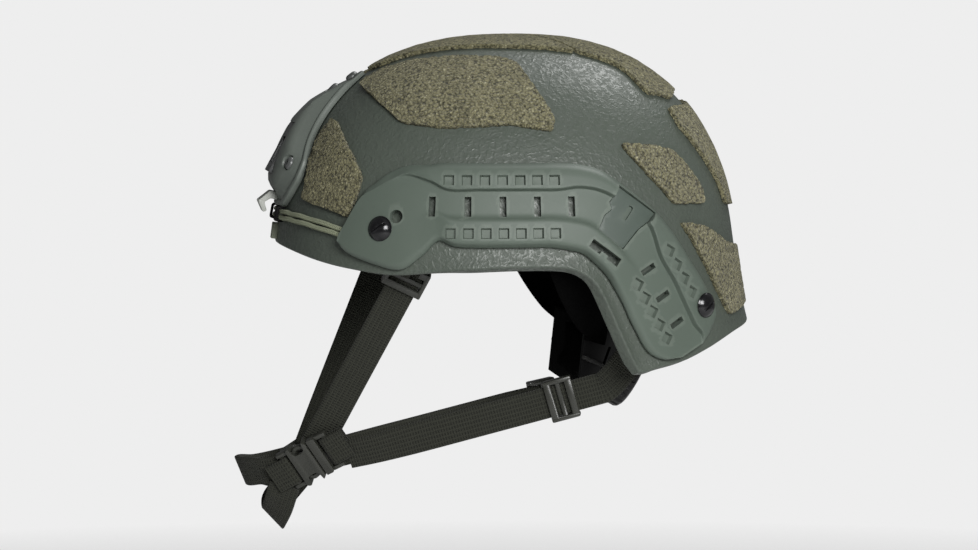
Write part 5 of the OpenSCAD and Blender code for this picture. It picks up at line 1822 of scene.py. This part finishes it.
    def dial(self) -> None:
        """Makes the housing, the knurled knob and its screw."""
        r, t = self.knob_d / 2, self.knob_thick
        profile = [[4.1, 0], [17, 0], [17, 6.2], [16.2, 7], [12.5, 7], [12.5, 5.7], [4.1, 5.7]]
        housing = spun("dial_housing_moulded", profile, 72)
        ears = slab("ears", softened(oblong(23, 5), 3.0), 0.2, 5.8, 0.6)
        fused(housing, [ears])
        pocket = spun("pocket", [[4.1, 1.5], [13, 1.5], [13, 5.7], [4.1, 5.7]], 48)
        sideways = Matrix.Rotation(math.pi / 2, 4, "Y")
        bores = [place(slab("bore", circle(1.5, 16), -8, 8), Matrix.Translation((s * 17, 0, 3.6)) @ sideways)
                 for s in (-1, 1)]
        carve(housing, [pocket] + bores)
        place(housing, self.on_dial(self.housing_back))
        dress(smooth(housing), BLACK_POLYMER, "dial_housing")
        profile = [[1.6, 0.2], [r - 1.5, 0.2], [r, 1.6], [r, t - 2.8], [r - 0.8, t - 1.2], [r - 2.6, t],
                   [10.4, t], [9.2, t - 1.6], [1.6, t - 1.6]]
        knob = spun("dial_knob_moulded", profile, 132)
        turns = [Matrix.Rotation(math.tau * i / self.grooves, 4, "Z") for i in range(self.grooves)]
        out = Matrix.Translation((r + 0.9, 0, 0))
        cuts = [place(slab("groove", circle(1.9, 12), -1, t + 1), turn @ out) for turn in turns]
        ease_edges(carve(knob, cuts), 0.3, 2, 40.0)
        place(knob, self.on_dial(self.knob_back))
        dress(smooth(knob), KNOB_POLYMER, "dial_knob", body=Body.DIAL)
        profile = [[0, -6.5], [1.5, -6.5], [1.5, t - 1.5], [3.2, t - 1.5], [3.2, t - 0.4],
                   [2.6, t + 0.1], [0, t + 0.2]]
        screw = spun("dial_screw_turned", profile, 32)
        carve(screw, [box("groove", (8, 1.1, 1.6), (0, 0, t + 0.1))])
        dress(smooth(place(screw, self.on_dial(self.knob_back))), SCREW_DULL, "dial_screw", body=Body.DIAL)
        redress("dial_spool", SCREW_DULL)

    def laces(self) -> None:
        """Makes the laces from the housing round the cradle."""
        line = self.housing_back + self.axis * 3.6
        mid, _, face = self.cradle(np.arange(11, 16.1) / 16)
        path = through(np.vstack([[line + [14.5, 0, 0], line + [24, 0, 0]], mid + face * 3.6]), 70)
        lace = sweep("lace", path, np.broadcast_to([0.3, 0.2, 1.0], path.shape), circle(self.lace / 2, 10))
        dress(smooth(with_twin("fit_laces_cord", lace), 60.0), LACE_CORD, "fit_laces")


# Harness


@dataclass(frozen=True)
class Axes:
    """A place with its own x, y and z directions."""

    at: tuple[float, float, float]
    along: tuple[float, float, float] = (0.4, 0.83, 0.47)
    face: tuple[float, float, float] = (0.95, -0.05, -0.25)

    @property
    def matrix(self) -> Matrix:
        """Returns the placing."""
        return along_line(self.at, self.along, self.face)

    @property
    def z(self) -> Array:
        """Returns the outward direction."""
        return np.array(self.matrix)[:3, 2]

    def point(self, p: Sequence[float]) -> Array:
        """Returns where a point of these axes is."""
        m = np.array(self.matrix)
        return m[:3, :3] @ np.asarray(p, float) + m[:3, 3]

    def leaving(self, p: Sequence[float], goal: Sequence[float], reach: float) -> list[Array]:
        """Returns a point and a second one on the way to a goal, along the face."""
        a = self.point(p)
        d = np.asarray(goal, float) - a
        return [a, a + unit(d - self.z * (d @ self.z)) * reach]


def side_face(run: Array) -> Array:
    """Returns the sideways direction square to a run."""
    return unit(np.array([1.0, 0, 0]) - run * run[0])


def across(p: Sequence[float]) -> Array:
    """Returns a point mirrored to the other side."""
    return np.array([-p[0], p[1], p[2]], float)


@dataclass
class Harness:
    """Chin harness: straps, sliders, locks, tabs, buckle and joint plate."""

    wide: float = 19.0
    thick: float = 1.8
    gap: float = 0.4
    bar: float = 3.0
    near: Axes = Axes((30.0, -140.5, -115.5))
    far: Axes = Axes((32.0, -127.0, -116.0))
    strap_top: tuple[float, float, float] = (80.5, -74.5, 4.5)
    sliders: tuple = ((71.2, 20.25, -70.06), (66.0, 28.0, -84.0))
    runs: tuple = ((0.195859, 0.943667, 0.266706), (0.25458, 0.951293, 0.173869))
    starts: tuple = ((-1.5, 15.5, -5.7), (-4, 4, -4.9))
    risers: tuple = (((79.5, 50.5, -57.5), (87, 59, -45)), ((76.5, 58, -73), (86, 65, -52)))
    straight_from: float = 24.0
    straight: tuple = (-21, -16, -8, 0, 8, 16, 21, 24, 26.5)
    body_thick: float = 9.0
    bolted_h: float = -9.9
    loop_r: float = 3.1

    def climb(self, k: int) -> tuple[list[Array], Array]:
        """Returns a front strap's first two places and its direction to its lock."""
        a = (self.near, self.far)[k].leaving(self.starts[k], self.strap_top, 20)
        return a, unit(np.array(self.strap_top) - a[1])

    def front_strap(self, k: int) -> Piece:
        """Returns the strap from the buckle or plate up to its lock."""
        f = (self.near, self.far)[k]
        a, run = self.climb(k)
        end = np.array(self.strap_top) + run * 9.0
        points = [a[0], mix(a[0], a[1], 0.5), a[1]] + [mix(a[1], end, t) for t in (0.25, 0.5, 0.75, 1.0)]
        faces = [f.z] * 3 + [side_face(run)] * 4
        name = f"front_strap_{('left', 'right')[k]}_webbing"
        return smooth(tape(name, points, faces, self.wide, self.thick), 60.0)

    def rear_strap(self, k: int) -> Piece:
        """Returns the strap through its slider and up to the rear bolt."""
        f, at, run = (self.near, self.far)[k], np.array(self.sliders[k]), np.array(self.runs[k])
        first = at - run * self.straight_from
        a = f.leaving(((8, 37, 0), (3, 4, -2.8))[k], first, (16, 20)[k])
        line = np.array([[71, -32], [79, -26], [88, -19], [96, -12], [101.5, -6]], float)
        seats = DOME.seat(View.SIDE, line)
        points = a + [mix(a[1], first, t) for t in (0.35, 0.7, 1.0)]
        points += [at + run * t for t in self.straight]
        points += list(self.risers[k]) + list(DOME.skin(seats, self.bolted_h))
        faces = [f.z] * 2 + [side_face(run)] * (len(points) - 2 - len(seats)) + list(DOME.normal(seats))
        name = f"rear_strap_{('left', 'right')[k]}_webbing"
        return smooth(tape(name, points, faces, self.wide, self.thick), 60.0)

    def ladder(self, name: str, long: float) -> Piece:
        """Returns a frame of two sides, two outer bars and a back bar."""
        half, lift, rise = self.wide / 2 + self.gap, self.thick / 2 + self.gap, self.bar * 0.8
        span, bar = 2 * half + 3, self.bar * 1.5
        side, end, mid = half + 1.4, (long - bar) / 2, lift + rise / 2
        sides = [box("side", (2.8, long, 2 * lift + 2 * rise), (s * side, 0, 0), edge=0.9) for s in (-1, 1)]
        bars = [box("bar", (span, bar, rise), (0, s * end, mid), edge=1.0) for s in (-1, 1)]
        bars.append(box("bar", (span, self.bar, rise * 0.7), (0, 0, lift + rise * 0.35), edge=0.8))
        bars.append(box("bar", (span, self.bar, rise), (0, 0, -lift - rise / 2), edge=0.9))
        body = fused(sides[0], [sides[1]] + bars)
        body.name = name
        return smooth(ease_edges(body, 0.25, 2, 50.0), 40.0)

    def straps(self) -> None:
        """Makes the four straps with their sliders and locks."""
        for k, side in enumerate(("left", "right")):
            front, rear, run = self.front_strap(k), self.rear_strap(k), np.array(self.runs[k])
            _, rise = self.climb(k)
            slider = self.ladder(f"rear_slider_{side}_moulded", 17.5)
            place(slider, along_line(self.sliders[k], run, side_face(run)))
            lock = self.ladder(f"front_lock_{side}_moulded", 17.0)
            place(lock, along_line(self.strap_top, rise, side_face(rise)))
            body = (Body.SLIDER_LEFT, Body.SLIDER_RIGHT)[k]
            if k:
                for piece in (front, rear, slider, lock):
                    place(piece, MIRROR)
            dress(front, WEBBING, f"front_strap_{side}")
            dress(rear, WEBBING, f"rear_strap_{side}")
            dress(slider, BUCKLE_POLYMER, f"rear_slider_{side}", body=body)
            dress(lock, BUCKLE_POLYMER, f"front_lock_{side}")

    def tabs(self) -> None:
        """Makes the narrow tabs from the front bolts to the locks."""
        line = np.array([[-93.5, 42], [-89.4, 34.3], [-86, 26.5], [-82.5, 17.5], [-80, 11.5]], float)
        seats = DOME.seat(View.SIDE, line)
        top = np.array(self.strap_top)
        _, run = self.climb(0)
        face = side_face(run)
        ends = [top + run * 9 + face * 4.2, top + run * 5 + face * 4.6]
        points = list(DOME.skin(seats, self.bolted_h)) + ends
        faces = list(DOME.normal(seats)) + [face, face]
        tab = smooth(tape("tab", points, faces, 12.0, self.thick), 60.0)
        dress(with_twin("strap_tabs_webbing", tab), WEBBING, "strap_tabs")

    def fold(self, name: str, bar_y: float, side: int, tail_z: float) -> Piece:
        """Returns webbing folded round a bar of the buckle."""
        angles = np.radians(np.arange(90, 271, 20))
        arc = [(bar_y + side * self.loop_r * math.cos(a), self.loop_r * math.sin(a)) for a in angles]
        path = [(bar_y + side * 12, tail_z)] + arc + [(bar_y + side * 12, -tail_z)]
        m = np.array(self.near.matrix)[:3, :3]
        turned = [m[:, 1] * side * math.cos(a) + m[:, 2] * math.sin(a) for a in angles]
        faces = [m[:, 2]] + turned + [-m[:, 2]]
        points = [self.near.point((0, y, z)) for y, z in path]
        return smooth(tape(name, points, faces, self.wide, self.thick, 0.9), 60.0)

    def chin(self, name: str, start: tuple, goal: tuple, chin: tuple, far_goal: tuple, finish: tuple,
             chin_face: tuple) -> None:
        """Makes one chin strap from the buckle to the far plate.

        Args:
            name: Name of the node that it stands for.
            start: Where it starts, in the buckle's axes.
            goal: Where it heads for on the near side.
            chin: Its places round the chin.
            far_goal: Where it heads for on the far side, mirrored.
            finish: Where it ends, in the far plate's axes.
            chin_face: Direction that its outer face looks at the chin.
        """
        a = self.near.leaving(start, goal, 9)
        b = self.far.leaving(finish, far_goal, 16)
        points = a + [goal] + list(chin) + [across(far_goal), across(b[1]), across(b[0])]
        face = np.array(chin_face)
        tilt = unit(mix(self.near.z, face, 0.3))
        faces = [self.near.z, self.near.z, tilt] + [unit(face + [p[0] * 0.045, 0, 0]) for p in chin]
        faces += [across(tilt), across(self.near.z), across(self.near.z)]
        strap = smooth(tape(f"{name}_webbing", points, faces, self.wide, self.thick), 60.0)
        dress(strap, WEBBING, name, body=Body.BUCKLE)
        strap.parent = None
        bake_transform(strap)

    def windows(self) -> list[Piece]:
        """Returns the cutters of the female body's side windows."""
        outline = softened([[-5.0, -5.2], [4.0, -3.6], [4.0, 3.6], [-5.0, 5.2]], 2.4, 4)
        cuts = [slab("window", np.array(outline) * [-s, 1], -9, 9) for s in (-1, 1)]
        return [place(cut, Matrix.Translation((s * 11.6, 12.2, 0))) for cut, s in zip(cuts, (-1, 1))]

    def webbing_bar(self, y: float, low: float, high: float) -> list[Piece]:
        """Returns a round bar and the two cheeks that carry it."""
        turn = Matrix.Translation((0, y, 0)) @ Matrix.Rotation(math.pi / 2, 4, "Y")
        parts = [place(slab("bar", circle(2.0, 20), -11.5, 11.5), turn)]
        size, mid = (2.6, high - low, 5.2), (low + high) / 2
        parts += [box("cheek", size, (s * 11.4, mid, 0), edge=0.7) for s in (-1, 1)]
        return parts

    def buckle(self) -> None:
        """Makes the two halves of the side-release buckle."""
        half, t = 14.0, self.body_thick / 2
        outline = [[-half + 1, 5], [half - 1, 5], [half, 6.5], [half, 17],
                   [half - 2, 19], [2 - half, 19], [-half, 17], [-half, 6.5]]
        female = slab("buckle_female_moulded", softened(outline, 0.8, 2), -t, t, 0.9)
        carve(female, [box("cavity", (22, 14, 4.2), (0, 14, 0))] + self.windows())
        fused(female, self.webbing_bar(0, -2.6, 5.6))
        ease_edges(female, 0.25, 2, 45.0)
        dress(smooth(place(female, self.near.matrix)), BUCKLE_POLYMER, "buckle_female", body=Body.BUCKLE)
        outline = [[-12.8, 19.8], [12.8, 19.8], [12.8, 24.2], [11.8, 25.2], [-11.8, 25.2], [-12.8, 24.2]]
        base = slab("buckle_male_moulded", softened(outline, 0.5, 2), -4, 4, 0.8)
        fused(base, self.webbing_bar(30, 24.7, 32.6) + [self.prong(1), self.prong(-1), self.guide()])
        base.name = "buckle_male_moulded"
        dress(smooth(place(base, self.near.matrix)), BUCKLE_POLYMER, "buckle_male")

    def prong(self, s: int) -> Piece:
        """Returns one sprung prong, whose head bows into its window."""
        line = [[8.4, 22, 0], [8.6, 17.5, 0], [10.3, 13.5, 0], [10.6, 10.8, 0], [8.9, 8.0, 0]]
        path = through(np.array(line) * [s, 1, 1], 26)
        return sweep("prong", path, np.broadcast_to([0, 0, 1.0], path.shape),
                     softened(oblong(1.5, 1.7), 0.9, 3))

    def guide(self) -> Piece:
        """Returns the tongue between the prongs."""
        return slab("guide", [[-2, 22], [2, 22], [1.4, 10], [-1.4, 10]], -1.6, 1.6)

    def joint_plate(self) -> None:
        """Makes the plate where the chin webbing meets the far straps."""
        outline = [[-13, -11], [-10, -14], [10, -14], [13, -11], [13, 11], [10, 14], [-10, 14], [-13, 11]]
        plate = slab("chin_joint_right_moulded", softened(outline, 1.2, 3), -1.6, 1.6)
        carve(plate, [box("slot", (20, 4, 8), (0, y, 0)) for y in (-8, 8)])
        ease_edges(plate, 0.6, 3, 40.0)
        place(place(plate, self.far.matrix), MIRROR)
        dress(smooth(plate), BUCKLE_POLYMER, "chin_joint_right")

    def build(self) -> None:
        """Makes the whole harness."""
        self.straps()
        self.tabs()
        self.buckle()
        self.joint_plate()
        dress(self.fold("buckle_loop_webbing", 30, 1, 2.1), WEBBING, "buckle_loop")
        dress(self.fold("chin_loop_webbing", 0, -1, 3.1), WEBBING, "chin_loop", body=Body.BUCKLE)
        self.chin("chin_strap_front", (-2.2, -5.8, -1.05), (19, -160, -117.4),
                  ((11, -166, -118.4), (0, -168.5, -119), (-11, -166, -119.5)), (20, -158, -120.5),
                  (-2, -2, 2.8), (0, -0.925, -0.38))
        self.chin("chin_strap_under", (7, -8.5, 1.05), (17.5, -147.3, -139.5),
                  ((9.5, -149.2, -146), (0, -149.2, -148.4), (-9.5, -148.7, -146.2)),
                  (18.5, -146, -140.5), (4, -2, 4.9), (0, -0.73, -0.68))


@dataclass
class Nuts:
    """Flanged nuts inside the shell, one behind each bolt."""

    flange: float = 14.0
    rail_seat: float = -11.1
    shroud_seat: float = -8.7

    def build(self) -> None:
        """Makes the nuts of the rails and of the shroud."""
        r = self.flange / 2
        profile = [[2.6, 0], [r, 0], [r, 0.9], [r - 0.5, 1.4], [4.7, 1.7], [4.4, 2.9], [4.1, 3.2], [2.6, 3.2]]
        nut = spun("nut", profile, 40)
        flip = Matrix.Rotation(math.pi, 4, "X")
        rail, shroud = SideRail(), Shroud()
        spots = (rail.front_bolt, rail.rear_bolt)
        places = mirrored([DOME.frame_at(View.SIDE, at, self.rail_seat) @ flip for at in spots])
        dress(smooth(stamped("rail_nuts_turned", nut, places)), NUT_STEEL, "rail_nuts")
        spots = [(s * shroud.side_bolt[0], shroud.side_bolt[1]) for s in (-1, 1)] + [shroud.top_bolts[0]]
        places = [DOME.frame_at(View.FRONT, at, self.shroud_seat) @ flip for at in spots]
        dress(smooth(stamped("shroud_nuts_turned", nut, places)), NUT_STEEL, "shroud_nuts")
        bpy.data.objects.remove(nut)
        redress("hook_discs", PAD_FABRIC)


# Studio


@dataclass
class Studio:
    """Camera, soft lights, pale floor and background."""

    target: tuple[float, float, float] = (0.0, -15.0, 0.0)
    azimuth: float = 83.0
    elevation: float = 4.0
    distance: float = 2400.0
    lens: float = 142.95
    floor_z: float = -420.0
    pale: float = 0.855
    fill: float = 0.13
    lamps: tuple = (
        ("key_light", (1.85, 0.3, 0.62), 0.8, 36.0),
        ("top_light", (-0.7, 0.75, 1.7), 0.9, 20.0),
        ("low_light", (1.2, 0.2, -1.0), 0.9, 12.0),
    )

    def camera(self) -> None:
        """Sets the camera where the photograph was taken from."""
        a, e = math.radians(self.azimuth), math.radians(self.elevation)
        back = Vector((math.cos(e) * math.sin(a), -math.cos(e) * math.cos(a), math.sin(e)))
        data = bpy.data.cameras.new("camera")
        data.lens, data.sensor_width, data.sensor_fit = self.lens, 36.0, "HORIZONTAL"
        data.clip_start, data.clip_end = 0.05, 30.0
        obj = bpy.data.objects.new("camera", data)
        obj.location = (Vector(self.target) + back * self.distance) * MM
        obj.rotation_euler = (-back).to_track_quat("-Z", "Y").to_euler()
        bpy.context.collection.objects.link(obj)
        bpy.context.scene.camera = obj

    def lamp(self, name: str, at: Sequence[float], size: float, power: float) -> None:
        """Adds a soft square light that looks at the helmet.

        Args:
            name: Name of the light.
            at: Its place in metres.
            size: Its side in metres.
            power: Its power in watts.
        """
        data = bpy.data.lights.new(name, "AREA")
        data.shape, data.size, data.energy = "SQUARE", size, power
        obj = bpy.data.objects.new(name, data)
        obj.location = at
        obj.rotation_euler = (Vector((0, 0, 0.02)) - Vector(at)).to_track_quat("-Z", "Y").to_euler()
        bpy.context.collection.objects.link(obj)

    def world(self) -> None:
        """Makes the background pale and the light from it weak."""
        world = bpy.data.worlds.new("studio")
        bpy.context.scene.world = world
        world.use_nodes = True
        w = Wiring(world.node_tree)
        path = w.node("ShaderNodeLightPath").outputs
        seen = w.math("ADD", path["Is Camera Ray"], path["Is Transmission Ray"], True)
        grey = (self.pale, self.pale, self.pale, 1)
        pale = w.node("ShaderNodeBackground", {"Color": grey, "Strength": 1.0})
        soft = w.node("ShaderNodeBackground", {"Color": (0.98, 0.99, 1.0, 1), "Strength": self.fill})
        both = w.node("ShaderNodeMixShader", {0: seen, 1: soft.outputs[0], 2: pale.outputs[0]})
        w.node("ShaderNodeOutputWorld", {"Surface": both.outputs[0]})

    def floor(self) -> None:
        """Lays a pale round floor that fades into the background."""
        deselect()
        bpy.ops.mesh.primitive_circle_add(vertices=96, radius=2.4, fill_type="NGON", location=(0, 0, 0))
        disc = bpy.context.object
        disc.name = "floor"
        move_to(disc, coords(disc) + np.array([0, 0, self.floor_z]))
        made = bpy.data.materials.new("floor_paper")
        made.use_nodes = True
        w = Wiring(made.node_tree)
        spot = w.node("ShaderNodeTexCoord").outputs["Object"]
        flat = w.node("ShaderNodeVectorMath", {0: spot, 1: (1, 1, 0)}, operation="MULTIPLY").outputs[0]
        away = w.node("ShaderNodeVectorMath", {0: flat}, operation="LENGTH").outputs[1]
        paper = w.node("ShaderNodeBsdfPrincipled", {"Base Color": (0.8, 0.8, 0.8, 1), "Roughness": 0.9})
        clear = w.node("ShaderNodeBsdfTransparent")
        fade = w.span(away, 0.9, 2.0)
        both = w.node("ShaderNodeMixShader", {0: fade, 1: paper.outputs[0], 2: clear.outputs[0]})
        w.node("ShaderNodeOutputMaterial", {"Surface": both.outputs[0]})
        disc.data.materials.append(made)

    def build(self) -> None:
        """Sets up camera, lights and surroundings."""
        self.camera()
        for lamp in self.lamps:
            self.lamp(*lamp)
        self.world()
        self.floor()
        bpy.context.scene.view_settings.view_transform = "Standard"


def main() -> None:
    """Builds the looks in order."""
    logging.basicConfig(level=logging.INFO, format="%(message)s")
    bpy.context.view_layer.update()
    makers = (Studio(), Shell(), LoopPanels(), SideRail(), RailScrews(), Shroud(), Bungee(), Nuts(),
              Liner(), FitSystem(), Harness())
    for maker in makers:
        maker.build()
    deselect()


if __name__ == "__main__":
    main()
